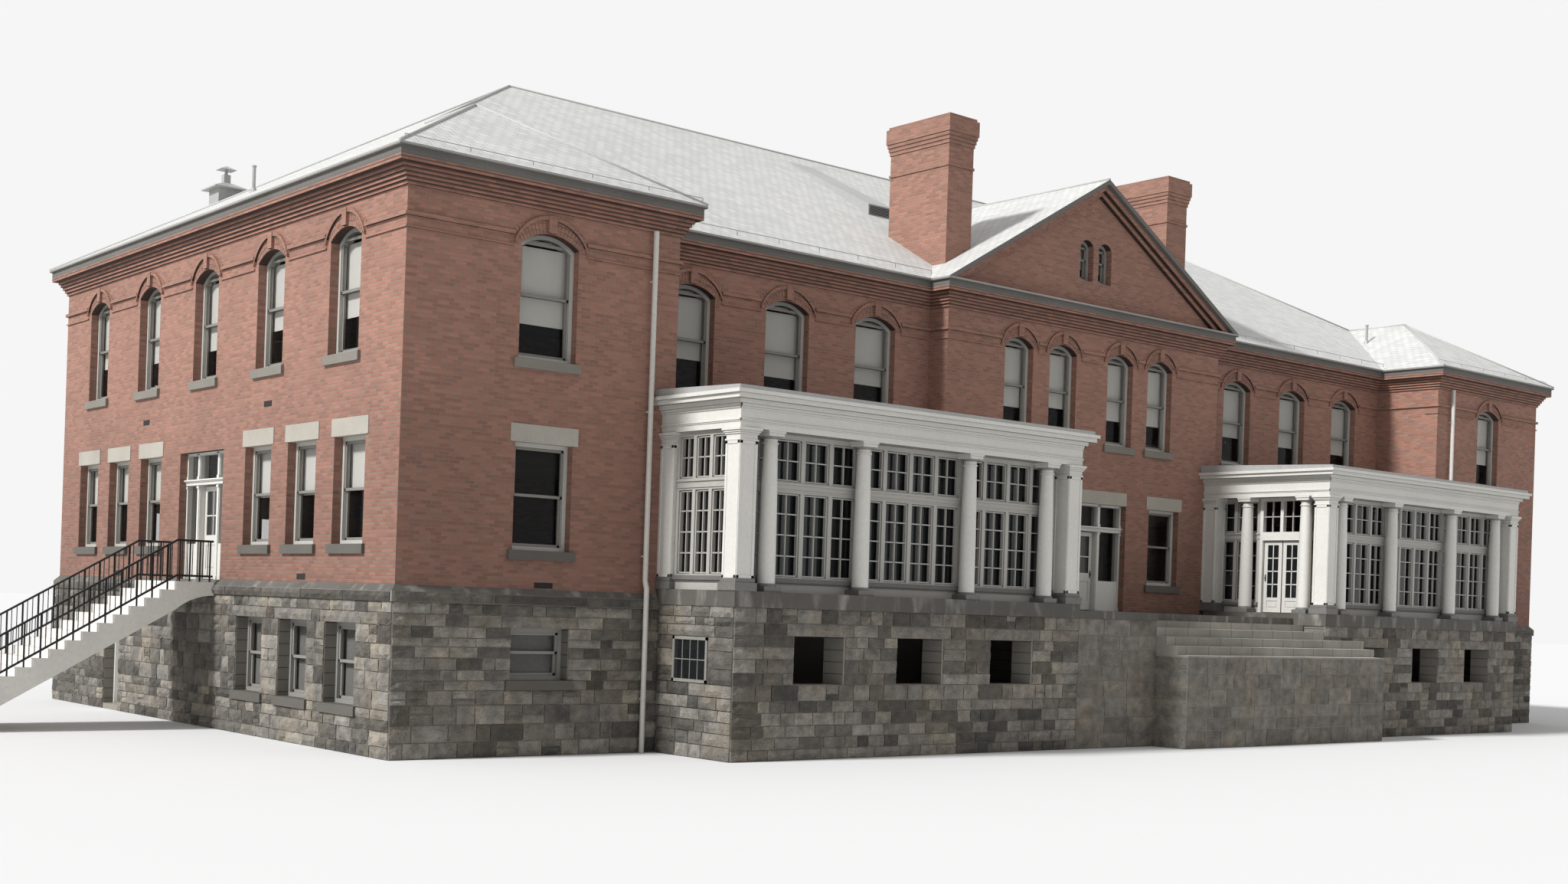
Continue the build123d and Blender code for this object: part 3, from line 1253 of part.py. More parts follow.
# Terrace and steps between the porches
def terrace():
    """Walls and top of the raised terrace, deep at the left and set back behind the steps."""
    x0 = -PORCH_GAP_HALF
    x1 = TERRACE_RIGHT
    y0 = -PORCH_FRONT
    y1 = PAVILION_FRONT - TABLE_PROUD
    edge = y0 + TERRACE_SET_BACK
    top = BASE_HEIGHT - TERRACE_DROP
    under = top - FLOOR_SLAB
    body = block(x0, x1, y0, y1, 0, top) + block(x1, PORCH_GAP_HALF, edge, y1, 0, top)
    body += block(x0, x1 + TERRACE_NOSE, y0 - TERRACE_NOSE, y1, BASE_COURSE_LOW, top)
    body -= block(x0 + TERRACE_WALL, x1 - TERRACE_WALL, y0 + TERRACE_WALL, y1 - TERRACE_WALL, -1, under)
    body -= block(x0 + TERRACE_WALL, PORCH_GAP_HALF - TERRACE_WALL, edge + TERRACE_WALL, y1 - TERRACE_WALL,
                  -1, under)
    return body


def court_steps():
    """Wide steps up to a landing, and one low step from there to the terrace."""
    x0 = TERRACE_RIGHT
    landing = BASE_HEIGHT - COURT_DROP
    y = -PORCH_FRONT
    edge = y + TERRACE_SET_BACK
    points = [(y, 0)]
    z = landing
    for k in range(COURT_STEPS - 1):
        z -= COURT_RISER
        points += [(y, z), (y - COURT_TREAD, z)]
        y -= COURT_TREAD
    points += [(y, 0)]
    body = slab_yz(points, x0, COURT_RIGHT) + block(x0, PORCH_GAP_HALF, -PORCH_FRONT, edge, 0, landing)
    middle = (landing + BASE_HEIGHT - TERRACE_DROP) / 2
    return body + block(x0 + TERRACE_NOSE, PORCH_GAP_HALF, edge - COURT_TREAD, edge, landing, middle)


def downspout():
    """Rain pipe down the inner side of a wing front, stepping over the water table."""
    x = -WING_INNER - SPOUT_INSET
    y = -STRING_PROUD - SPOUT_RADIUS - SPOUT_GAP
    y_low = -TABLE_PROUD - SPOUT_RADIUS - SPOUT_GAP
    z_top = EAVES
    z_turn = BASE_HEIGHT + 60
    path = Polyline([(x, y, z_top), (x, y, z_turn + 60), (x, y_low, z_turn - 20), (x, y_low, 0)])
    section = Plane(origin=(x, y, z_top), z_dir=(0, 0, -1)) * Circle(SPOUT_RADIUS)
    pipe = sweep(section, path=path, transition=Transition.RIGHT)
    for part in SPOUT_BRACKETS:
        z = BASE_HEIGHT + part * EAVES_RISE
        pipe += block(x - SPOUT_BRACKET, x + SPOUT_BRACKET, y, 0, z, z + SPOUT_BRACKET)
    z = BASE_HEIGHT / 3
    return pipe + block(x - SPOUT_BRACKET, x + SPOUT_BRACKET, y_low, -STONE_PROUD, z, z + SPOUT_BRACKET)


def main():
    os.makedirs("parts", exist_ok=True)
    save(cellar_floor(), "basement_floor")
    save(floor_plate(GROUND_FLOOR, STONE_WALL), "ground_floor")
    save(floor_plate(UPPER_FLOOR, WALL), "upper_floor")
    half = DEPTH / 2
    save(both(side_base_part(CELLAR_DOOR_HIGH, half, SIDE_CELLARS)), "stone_base_sides_front")
    save(both(side_base_part(-half, CELLAR_DOOR_LOW, [])), "stone_base_sides_rear")
    save(both(cellar_door_surround()), "cellar_door_surrounds")
    save(back_base(), "stone_base_back")
    save(both(wing_base()), "stone_base_wings")
    save(both(recess_base()), "stone_base_recesses")
    save(pavilion_base(), "stone_base_pavilion")
    save(both(side_wall_part(DOOR_SPLIT, half)), "side_walls_front_part")
    save(both(side_wall_part(-half, -DOOR_SPLIT)), "side_walls_rear_part")
    save(both(side_wall_over_door()), "side_walls_over_doors")
    save(both(wing_front()), "wing_front_walls")
    returns = [return_wall(-WING_INNER, 0, -1), return_wall(-PAVILION_HALF, PAVILION_FRONT, 1)]
    save(both(gathered(returns)), "return_walls")
    save(both(recess_wall()), "recess_walls")
    save(both(pavilion_wall_beside()), "pavilion_walls_beside_door")
    save(pavilion_wall_upper(), "pavilion_wall_upper")
    save(gable_wall(), "pavilion_gable")
    save(back_wall(), "back_wall")
    for name, piece in cornice_parts().items():
        save(piece, name)
    save(gable_cornice(), "gable_cornice")
    shell, gable = roof_shells()
    chimneys = gathered([chimney(-CHIMNEY_PLACE), chimney(CHIMNEY_PLACE)])
    save(shell - chimneys, "main_roof")
    save(gable - chimneys, "pavilion_roof")
    save(chimneys, "chimneys")
    save(gathered([both(roof_dormer()), both(roof_ventilator())]), "roof_ventilators")
    save_windows()
    save_doors()
    save_porches()
    save(both(side_stair()), "side_stairs")
    save(both(side_stair_rails()), "side_stair_railings")
    save(terrace(), "terrace")
    save(court_steps(), "court_steps")
    save(both(downspout()), "downspouts")


def save_windows():
    at_recess = Pos(0, SETBACK, 0)
    at_pavilion = Pos(0, PAVILION_FRONT, 0)
    side = window_frames(SIDE_UPPERS, SIDE_LOWERS)
    side += [cellar_frame(u, CELLAR_WINDOW_HEIGHT) for u in SIDE_CELLARS]
    save(both(gathered([LEFT_TURN * piece for piece in side])), "side_window_frames")
    side = window_panes(SIDE_UPPERS, SIDE_LOWERS)
    side += [cellar_pane(u, CELLAR_WINDOW_HEIGHT) for u in SIDE_CELLARS]
    side = [LEFT_TURN * piece for piece in side] + [side_door_glass()]
    back = [BACK_TURN * piece for piece in window_panes(BACK_WINDOWS, BACK_WINDOWS)]
    save(gathered([both(gathered(side)), *back]), "side_and_back_glass")
    wing = window_frames([WING_WINDOW], [WING_WINDOW]) + [cellar_frame(WING_WINDOW, SHORT_CELLAR_WINDOW_HEIGHT)]
    recess = [at_recess * piece for piece in window_frames(RECESS_WINDOWS, RECESS_WINDOWS)]
    lowers = PAVILION_LOWERS[:1]
    near = [u for u in PAVILION_WINDOWS if u < 0]
    pavilion = window_frames(near, [], PAVILION_WINDOW_WIDTH) + window_frames([], lowers)
    pavilion = [at_pavilion * piece for piece in pavilion]
    gable = []
    panes = []
    for u in (-GABLE_WINDOW_PLACE,):
        outer = gable_opening(u, 0, REVEAL, REVEAL + FRAME_DEPTH)
        ring = outer - gable_opening(u, FRAME_FACE, REVEAL - 1, REVEAL + FRAME_DEPTH + 1)
        gable.append(at_pavilion * ring)
        pane = gable_opening(u, GLASS_GAP, REVEAL + FRAME_DEPTH, REVEAL + FRAME_DEPTH + GLASS)
        panes.append(at_pavilion * pane)
    save(both(gathered(wing + recess + pavilion + gable)), "front_window_frames")
    wing = window_panes([WING_WINDOW], [WING_WINDOW]) + [cellar_pane(WING_WINDOW, SHORT_CELLAR_WINDOW_HEIGHT)]
    recess = [at_recess * piece for piece in window_panes(RECESS_WINDOWS, RECESS_WINDOWS)]
    pavilion = window_panes(near, [], PAVILION_WINDOW_WIDTH) + window_panes([], lowers)
    pavilion = [at_pavilion * piece for piece in pavilion]
    halves = both(gathered(wing + recess + pavilion + panes))
    save(gathered([halves, main_door_glass()]), "front_window_glass")
    back = window_frames(BACK_WINDOWS, BACK_WINDOWS)
    save(gathered([BACK_TURN * piece for piece in back]), "back_window_frames")
    side = window_trim(SIDE_UPPERS, SIDE_LOWERS)
    head = BASE_HEIGHT - CELLAR_HEAD
    side += [sill(u, head - CELLAR_WINDOW_HEIGHT, face=-STONE_PROUD) for u in SIDE_CELLARS]
    side = [LEFT_TURN * piece for piece in side]
    wing = window_trim([WING_WINDOW], [WING_WINDOW])
    wing.append(sill(WING_WINDOW, head - SHORT_CELLAR_WINDOW_HEIGHT, face=-STONE_PROUD))
    recess = [at_recess * piece for piece in window_trim(RECESS_WINDOWS, RECESS_WINDOWS)]
    pavilion = window_trim(near, [], PAVILION_WINDOW_WIDTH) + window_trim([], lowers)
    pavilion = [at_pavilion * piece for piece in pavilion]
    front = both(gathered(wing + recess + pavilion))
    save(gathered([front, at_pavilion * main_lintel_local()]), "front_stone_trim")
    back = [BACK_TURN * piece for piece in window_trim(BACK_WINDOWS, BACK_WINDOWS)]
    save(gathered([both(gathered(side)), *back]), "side_and_back_stone_trim")


def save_doors():
    frames = gathered([side_door_frame(), cellar_door_frame()])
    save(both(frames), "side_door_frames")
    save(side_door(), "side_door")
    save(cellar_door(), "cellar_door")
    save(mirrored(gathered([side_door(0), cellar_door(0)])), "right_side_doors")
    save(main_door_frame(), "main_door_frame")
    save(main_door(), "main_door")


def save_porches():
    save(both(porch_base_front()), "porch_base_fronts")
    save(both(gathered([porch_outer_base_end(), porch_inner_base_end()])), "porch_base_ends")
    save(both(porch_floor()), "porch_floors")
    save(both(porch_columns()), "porch_columns")
    save(both(porch_screens()), "porch_screens")
    save(both(porch_glass()), "porch_glass")
    save(both(porch_door_frame()), "porch_door_frames")
    save(gathered([porch_leaf(-1, 0), porch_leaf(1, 0)]), "left_porch_doors")
    save(mirrored(porch_leaf(-1)), "porch_door_front_leaf")
    save(mirrored(porch_leaf(1)), "porch_door_rear_leaf")
    save(both(porch_entablature()), "porch_entablatures")
    save(both(porch_roof()), "porch_roofs")


main()
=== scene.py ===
import json
import math
from random import Random
from types import SimpleNamespace

import bmesh
import bpy
from mathutils import Matrix, Vector


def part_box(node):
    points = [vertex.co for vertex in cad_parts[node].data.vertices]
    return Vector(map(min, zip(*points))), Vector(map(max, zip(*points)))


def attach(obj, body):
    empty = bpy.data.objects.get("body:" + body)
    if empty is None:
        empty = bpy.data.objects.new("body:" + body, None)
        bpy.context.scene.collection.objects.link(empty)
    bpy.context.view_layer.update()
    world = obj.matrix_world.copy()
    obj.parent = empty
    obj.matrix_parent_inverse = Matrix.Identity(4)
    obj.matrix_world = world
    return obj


bl_info = {
    "name": "School building dressing",
    "version": (1, 0, 0),
    "blender": (4, 5, 0),
    "location": "View3D > Sidebar > School",
    "description": "Brickwork, rubble, slates, sashes and fittings for a half-size school building",
    "category": "Object",
}

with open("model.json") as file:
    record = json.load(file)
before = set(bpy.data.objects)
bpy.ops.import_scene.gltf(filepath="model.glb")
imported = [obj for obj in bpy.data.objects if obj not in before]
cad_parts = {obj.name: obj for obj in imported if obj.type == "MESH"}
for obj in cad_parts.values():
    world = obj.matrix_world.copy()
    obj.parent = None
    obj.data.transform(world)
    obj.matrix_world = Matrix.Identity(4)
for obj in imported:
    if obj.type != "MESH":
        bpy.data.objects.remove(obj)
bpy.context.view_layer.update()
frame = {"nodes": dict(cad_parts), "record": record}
NODES = frame["nodes"]


# Kinds of settings
def number(name, text, default, **more):
    return bpy.props.FloatProperty(name=name, description=text, default=default, **more)


def metres(name, text, default):
    return number(name, text, default, unit="LENGTH")


def angle(name, text, degrees):
    return number(name, text, math.radians(degrees), subtype="ANGLE")


def vector(name, text, default, **more):
    return bpy.props.FloatVectorProperty(name=name, description=text, default=default,
                                         size=len(default), **more)


def tint(name, text, default):
    return vector(name, text, default, subtype="COLOR")


# Settings shown in the sidebar
class BrickSettings(bpy.types.PropertyGroup):
    course: metres("Course", "Height of one brick and its joint", 0.034)
    length: metres("Brick length", "Length of one brick and its joint", 0.107)
    joint: metres("Joint", "Width of the mortar joint", 0.006)
    face: tint("Brick", "Mean colour of the bricks", (0.315, 0.150, 0.108))
    mortar: tint("Mortar", "Colour of the joints", (0.25, 0.205, 0.168))


class StoneSettings(bpy.types.PropertyGroup):
    low: metres("Low course", "Height of the lowest courses", 0.085)
    high: metres("High course", "Height of the highest courses", 0.165)
    short: metres("Short stone", "Length of the shortest stones", 0.13)
    long: metres("Long stone", "Length of the longest stones", 0.37)
    joint: metres("Joint", "Width of the joints between stones", 0.009)
    rough: metres("Roughness", "How far the rock face stands out", 0.028)
    tones: vector("Tones", "Darkest and lightest stone", (0.0, 1.0))
    seed: bpy.props.IntProperty(name="Seed", description="Start of the random layout", default=7)
    face: tint("Stone", "Mean colour of the rubble", (0.145, 0.134, 0.118))
    mortar: tint("Mortar", "Colour behind the stones", (0.24, 0.22, 0.19))


class SashSettings(bpy.types.PropertyGroup):
    stile: metres("Stile", "Face width of a sash stile", 0.026)
    meeting: metres("Meeting rail", "Height of the meeting rail", 0.028)
    shade: number("Shade", "Part of the window that a drawn shade covers", 0.50, subtype="FACTOR")
    bar: metres("Glazing bar", "Width of a glazing bar", 0.013)


class RoofSettings(bpy.types.PropertyGroup):
    slate: metres("Slate width", "Width of one slate", 0.125)
    rise: metres("Slate rise", "Height gained by one course of slates", 0.050)
    roll: metres("Ridge roll", "Radius of the rolls on ridges and hips", 0.014)
    pitch: angle("Pitch", "Slope of the roof", 30)


class StageSettings(bpy.types.PropertyGroup):
    place: vector("Camera", "Where the camera stands", (-17.325, -17.651, 1.447),
                  subtype="XYZ", unit="LENGTH")
    heading: angle("Heading", "Turn of the camera from +Y towards +X", 40.15)
    roll: angle("Roll", "Tilt of the camera about its view line", 1.92)
    lens: number("Lens", "Focal length on a 36 mm wide sensor", 40.85, unit="CAMERA")
    sun: number("Key light", "Strength of the key light", 3.9)
    sky: number("Fill light", "Strength of the light all round", 0.46)


class SchoolSettings(bpy.types.PropertyGroup):
    brick: bpy.props.PointerProperty(type=BrickSettings)
    stone: bpy.props.PointerProperty(type=StoneSettings)
    sash: bpy.props.PointerProperty(type=SashSettings)
    roof: bpy.props.PointerProperty(type=RoofSettings)
    stage: bpy.props.PointerProperty(type=StageSettings)


# Planes and levels of the building, in metres, as the frame has them
SIDE_FACE = 9.96
WING_FACE = -3.635
RECESS_FACE = -2.635
PAVILION_FACE = -2.935
BACK_FACE = 5.125
BASE_TOP = 1.53
TABLE_LOW = 1.38
TABLE_HIGH = 1.47
STONE_PROUD = 0.03
TABLE_PROUD = 0.055
WING_INNER = 7.01
PAVILION_HALF = 2.59
PORCH_FACE = -4.86
PORCH_OUTER = 7.156
PORCH_INNER = 2.358
PORCH_COURSE_LOW = 1.43
BASE_WINDOW_X = (-1.344, 0.0, 1.344)
BASE_WINDOW_HALF = 0.325
BASE_WINDOW_SILL = 0.71
END_WINDOW = (-4.49, -3.94, 0.70, 1.14)
PORCH_INSIDE = PORCH_INNER + 0.018
PILASTER = 0.206
PORCH_DOOR_Y = -4.03
PORCH_DOOR_HALF = 0.33
DOOR_BAR = (2.531, 2.591)
DOOR_HEAD = 2.88
SIDE_DOOR_Y = 0.745
STAIR_RAILS = (0.205, 1.285)
STAIR_RAIL_WALL = 10.02
STAIR_RAIL_EDGE = 10.396
STAIR_RAIL_END = 12.7815
STAIR_RAIL_DROP = 1.4118
STAIR_RAIL_TOP = 1.93
STAIR_RAIL_LOW = 1.57
TERRACE_END = -1.0
STEPS_FACE = -5.31
STEPS_END = 3.03
STEPS_LOW = 1.05
CELLAR_HEAD = 1.17
FASCIA_LOW = 5.178
CORNICE_TOP = 5.325
GUTTER_OUT = 0.185
UPPER_SPRING = 4.691
SIDE_VENTS = ((-0.884, 3.278), (2.357, 3.275), (-1.761, 1.58), (3.078, 1.58))
WING_VENT = (8.447, 1.540, 1.592)
VENT_PIPES = ((9.285, 1.22), (7.92, -1.84), (6.2, 3.0))
ARCH_RISE = 0.11

# Stones over and under the basement windows, and in the water table
LINTEL = 0.11
PORCH_LINTEL = 0.12
LINTEL_END = 0.10
LINTEL_TONE = 0.62
SILL_STONE = 0.088
TABLE_STONE = 0.88

# Brick arches over the upper windows
ARCH_RINGS = 3
ARCH_BRICKS = 19
ARCH_DEPTH = 0.050

# Parts of a sash window: frame, sash, shade
FRAME_EDGE = 0.038
ARCH_EDGE = 0.075
SASH_THICK = 0.022
SHADE_DEPTH = (0.074, 0.077)
SHADE_SIDE = 0.012

# Glazed screens of a porch. An end screen is (side it faces, distance from the middle,
# its middle, its length, lights)
SCREEN_FRONT = -4.654
SCREEN_LIGHTS = 12
END_SCREENS = ((1, 7.111, -4.2475, 0.813, 3), (-1, 2.582, -4.472, 0.224, 1),
               (-1, 2.582, -3.3175, 0.765, 2))
SCREEN_POST = 0.045
SCREEN_SILL = BASE_TOP + 0.20
SCREEN_RAIL = (BASE_TOP + 1.0, BASE_TOP + 1.11)
SCREEN_HEAD = BASE_TOP + 1.555 - SCREEN_POST
BAR_DEPTH = (0.02, 0.045)
LIGHT_DEPTH = (0.012, 0.05)

# How far bands stand out and their lower and upper heights
FRIEZE = ((0.008, 3.140, 3.152), (0.015, 3.152, 3.166), (0.010, 3.262, 3.280),
          (0.020, 3.280, 3.305))
COLUMN_WIDTH = 0.203

# Door leaves and their frames. A frame is (half its width, middle to mullion)
MAIN_FRAME = (0.75, 0.288)
SIDE_FRAME = (0.58, 0.233)
FRAME_RECESS = 0.09
LEAF_THICK = 0.030
LEAF_RIM = 0.052
KNOB_HEIGHT = 0.45
BARS_PITCH = 0.051
BARS_RADIUS = 0.0045


# Shader values as ordinary arithmetic
def maths(kind):
    """A method that puts the value through a maths node of that kind."""
    def method(self, *others):
        return self.paint.node("ShaderNodeMath", {"operation": kind}, [self, *others])
    return method


class Value:
    """One shader socket that takes part in Python expressions."""

    def __init__(self, paint, socket):
        self.paint = paint
        self.socket = socket

    __add__ = maths("ADD")
    __sub__ = maths("SUBTRACT")
    __mul__ = maths("MULTIPLY")
    __truediv__ = maths("DIVIDE")
    __abs__ = maths("ABSOLUTE")
    __gt__ = maths("GREATER_THAN")
    __lt__ = maths("LESS_THAN")
    floor = maths("FLOOR")
    fract = maths("FRACT")
    lower = maths("MINIMUM")
    upper = maths("MAXIMUM")

    def __rsub__(self, other):
        return self * -1.0 + other

    def edge(self):
        """Distance to the nearer whole number."""
        part = self.fract()
        return part.lower(1.0 - part)

    def smooth(self, low, high):
        """0 below low, 1 above high and a soft step between."""
        settings = {"interpolation_type": "SMOOTHSTEP"}
        sockets = {"Value": self, "From Min": low, "From Max": high}
        return self.paint.node("ShaderNodeMapRange", settings, sockets)


class Nodes:
    """A node tree under construction."""

    def __init__(self, tree):
        self.tree = tree

    def feed(self, socket, value):
        if isinstance(value, Value):
            self.tree.links.new(value.socket, socket)
            return
        start = socket.default_value
        whole = not hasattr(start, "__len__") or len(start) == len(value)
        socket.default_value = value if whole else (*value, 1.0)

    def node(self, kind, settings=None, sockets=None, output=0):
        """One node of that type with its settings and socket values; returns one of its outputs."""
        made = self.tree.nodes.new(kind)
        for key, value in (settings or {}).items():
            setattr(made, key, value)
        pairs = sockets.items() if isinstance(sockets, dict) else enumerate(sockets or [])
        for key, value in pairs:
            self.feed(made.inputs[key], value)
        return Value(self, made.outputs[output])

    def coordinate(self, kind="Object"):
        return self.node("ShaderNodeTexCoord", output=kind)

    def split(self, socket):
        made = self.tree.nodes.new("ShaderNodeSeparateXYZ")
        self.tree.links.new(socket.socket, made.inputs[0])
        return [Value(self, out) for out in made.outputs]

    def xyz(self):
        return self.split(self.coordinate())

    def normal(self):
        return self.split(self.node("ShaderNodeNewGeometry", output="True Normal"))

    def join(self, x, y, z=0.0):
        return self.node("ShaderNodeCombineXYZ", None, [x, y, z])

    def noise(self, scale, detail=3.0, place=None):
        sockets = {"Scale": scale, "Detail": detail, "Vector": place or self.coordinate()}
        return self.node("ShaderNodeTexNoise", None, sockets)

    def chance(self, x, y):
        """A steady random number for each pair of whole numbers."""
        settings = {"noise_dimensions": "2D"}
        return self.node("ShaderNodeTexWhiteNoise", settings, {"Vector": self.join(x, y)})

    def mix(self, factor, low, high):
        settings = {"data_type": "RGBA"}
        return self.node("ShaderNodeMix", settings, {0: factor, 6: low, 7: high}, output=2)

    def shaded(self, color, amount):
        """The colour made lighter or darker by amount, which is 1 where it stays as it is."""
        settings = {"operation": "SCALE"}
        return self.node("ShaderNodeVectorMath", settings, {0: color, "Scale": amount})


class Paint(Nodes):
    """A material under construction."""

    def __init__(self, name, **constants):
        self.material = bpy.data.materials.new(name)
        self.material.use_nodes = True
        super().__init__(self.material.node_tree)
        self.shader = self.tree.nodes["Principled BSDF"]
        for key, value in constants.items():
            self.shader.inputs[key.replace("_", " ")].default_value = value

    def bump(self, height, distance, strength=1.0):
        sockets = {"Height": height, "Distance": distance, "Strength": strength}
        self.feed(self.shader.inputs["Normal"], self.node("ShaderNodeBump", None, sockets))

    def color(self, value):
        self.feed(self.shader.inputs["Base Color"], value)

    def roughness(self, value):
        self.feed(self.shader.inputs["Roughness"], value)

    def dress(self, color, spread=0.5, grit=(0.25, 0.87), scales=(1.7, 40.0), depth=0.002,
              joint=0.0):
        """Dressed stone or concrete: the colour under broad stains and fine grain."""
        broad = self.noise(scales[0], 5.0)
        fine = self.noise(scales[1], 4.0)
        stains = broad * spread + 1.0 - spread / 2
        self.color(self.shaded(color, stains * (fine * grit[0] + grit[1])))
        self.bump(fine + joint, depth, 0.6)
        return self.material

    def along_wall(self):
        """Distance along a wall and height, for walls that face along X or along Y, and whether
        a face is level and whether it looks down."""
        x, y, z = self.xyz()
        normal = self.normal()
        side = abs(normal[0]) > abs(normal[1])
        return x * (1.0 - side) + y * side, z, abs(normal[2]) > 0.9, normal[2] < -0.5

    def bond(self, u, z, length, course):
        """Half-bond courses: the place in the row, the row and the height in rows."""
        height = z / course
        row = height.floor()
        return u / length + (row * 0.5).fract(), row, height


def brickwork(settings, name):
    """Paint and colour of bricks of uneven tone, darker low down, with painted shade on the
    undersides.
    """
    paint = Paint(name, Roughness=0.88)
    u, z, flat, under = paint.along_wall()
    place, row, height = paint.bond(u, z, settings.length, settings.course)
    edge = (place.edge() * settings.length).lower(height.edge() * settings.course)
    body = edge.smooth(settings.joint * 0.3, settings.joint * 0.75).upper(flat)
    tone = paint.chance(place.floor(), row) * 0.36 + 0.80
    cloud = paint.noise(0.9, 4.0) * 0.5 + 0.75
    grit = paint.noise(140.0, 2.0)
    low_darkening = z.smooth(BASE_TOP, FASCIA_LOW - 0.9) * 0.28 + 0.72
    face = paint.shaded(settings.face, tone * cloud)
    face = paint.shaded(face, grit * 0.5 + 0.75)
    color = paint.mix(body, settings.mortar, face)
    paint.bump(body + grit * 0.25, settings.joint * 0.55, 0.75)
    # painted shade on faces that look down; darker low down by height
    return paint, paint.shaded(color, low_darkening * (1.0 - under * 0.88))


def brick_material(settings):
    paint, color = brickwork(settings, "brickwork")
    paint.color(color)
    return paint.material


def stone_material(settings):
    """Rock-faced rubble. Each stone carries its own tone in a face attribute."""
    paint = Paint("rubble", Roughness=0.92)
    tone = paint.node("ShaderNodeAttribute", {"attribute_name": "tone"}, output="Fac")
    broad = paint.noise(9.0, 5.0)
    fine = paint.noise(60.0, 4.0)
    amount = (tone * 1.3 + 0.40) * (broad * 1.6 + 0.20) * (fine * 1.0 + 0.50)
    warm = paint.noise(2.2, 2.0).smooth(0.45, 0.62)
    base = paint.mix(warm, settings.face, (0.165, 0.146, 0.118))
    paint.color(paint.shaded(base, amount))
    paint.bump(fine * 0.6 + broad, 0.020, 1.0)
    return paint.material


def base_material(name, settings, level):
    """Mortar behind the rubble, blocks in the reveals and a smooth dark cap above the level."""
    paint = Paint(name, Roughness=0.88)
    x, y, z = paint.xyz()
    normal = paint.normal()
    streak = paint.noise(3.0, 5.0, paint.join(x * 2.2, y * 2.2, z * 0.7)).smooth(0.50, 0.75)
    cap = paint.mix(streak, (0.095, 0.088, 0.078), (0.26, 0.25, 0.225))
    joint = (z / 0.116).edge().smooth(0.02, 0.06)
    block = paint.shaded((0.165, 0.155, 0.135), joint * 0.65 + 0.35)
    inner = ((abs(normal[0]) > 0.5) * (abs(x) < SIDE_FACE - 0.05)).upper(
        (abs(normal[1]) > 0.5) * (abs(x) > SIDE_FACE - 0.26) * (y > WING_FACE + 0.05))
    color = paint.mix(inner, settings.mortar, block)
    return paint.dress(paint.mix(z > level, color, cap), 0.6, (0.3, 0.85), depth=0.003)


def trim_material(low, high):
    """Pale lintels between two heights, darker sills above them and the darkest sills below."""
    paint = Paint("sandstone_trim", Roughness=0.85)
    z = paint.xyz()[2]
    color = paint.mix(z > low, (0.10, 0.092, 0.08), (0.37, 0.345, 0.30))
    return paint.dress(paint.mix(z > high, color, (0.20, 0.185, 0.16)))


def step_material():
    """Pale treads over darker risers in blocks, told apart by which way a face points."""
    paint = Paint("step_stone", Roughness=0.85)
    joint = (paint.xyz()[0] / 0.42).edge().smooth(0.005, 0.02)
    riser = paint.shaded((0.27, 0.255, 0.225), joint * 0.5 + 0.5)
    # upward faces take the pale tread colour, all others the riser colour
    color = paint.mix(paint.normal()[2] > 0.7, riser, (0.62, 0.605, 0.57))
    return paint.dress(color, 0.7, (0.3, 0.85), (2.4, 35.0), 0.003, joint)


def cornice_material(settings, level):
    """Brick corbels with painted shadow under each step, a dark metal fascia above the level and its
    lip, painted pale as a highlight.
    """
    paint, brick = brickwork(settings, "cornice_brick_and_fascia")
    z = paint.xyz()[2]
    # painted shadow on the top of each corbel course, under the course above
    corbel_shadow = ((z - level) / settings.course).fract().smooth(0.45, 0.80) * 0.62
    # top strip of the fascia painted pale: a painted highlight on the gutter lip
    metal = paint.mix(z > CORNICE_TOP - 0.020, (0.14, 0.132, 0.122), (0.34, 0.33, 0.31))
    metal = paint.shaded(metal, paint.noise(1.2, 4.0) * 0.6 + 0.7)
    paint.color(paint.mix(z > level + 0.045, paint.shaded(brick, 1.0 - corbel_shadow), metal))
    return paint.material


def slate_material(settings):
    """Courses of slate on the slopes, and a dark board on the upright edges; the same dark colour on
    the undersides is painted shade.
    """
    paint = Paint("slates", Roughness=0.62)
    u, z, _, _ = paint.along_wall()
    place, row, height = paint.bond(u, z, settings.slate, settings.rise)
    up = height.fract()
    gap = (place.edge() * settings.slate).smooth(0.0012, 0.004)
    tone = paint.chance(place.floor(), row) * 0.16 + 0.92
    cloud = paint.noise(0.5, 4.0) * 0.2 + 0.90
    face = paint.shaded((0.56, 0.56, 0.545), tone * cloud)
    slates = paint.mix(gap.lower(up.smooth(0.0, 0.10)), (0.25, 0.25, 0.25), face)
    # faces that don't face up are dark: the upright edges, and painted shade on the undersides
    paint.color(paint.mix(paint.normal()[2] > 0.3, (0.13, 0.122, 0.112), slates))
    paint.bump((1.0 - up) * 0.8 + gap * 0.6, 0.006, 0.8)
    return paint.material


def painted_material(name, color, roughness=0.5, wear=0.12, underside_shade=0.0, arch_shade_and_low_tone=0.0):
    """Paint with faint wear. Painted shade darkens the undersides and the arched heads, and the
    basement frames are darker.
    """
    paint = Paint(name)
    broad = paint.noise(1.3, 4.0)
    fine = paint.noise(30.0, 3.0)
    amount = broad * wear + fine * wear + 1.0 - wear
    if underside_shade:
        # painted shade on faces that look down
        amount = amount * (1.0 - (paint.normal()[2] < -0.5) * underside_shade)
    if arch_shade_and_low_tone:
        z = paint.xyz()[2]
        # painted shade in the arched heads, and basement frames darker
        arched = z.smooth(UPPER_SPRING - 0.03, UPPER_SPRING + 0.06)
        amount = amount * (1.0 - arched * arch_shade_and_low_tone) * (1.0 - (z < TABLE_LOW) * arch_shade_and_low_tone)
    paint.color(paint.shaded(color, amount))
    paint.roughness(fine * 0.2 + roughness - 0.1)
    paint.bump(fine, 0.0008, 0.4)
    return paint.material


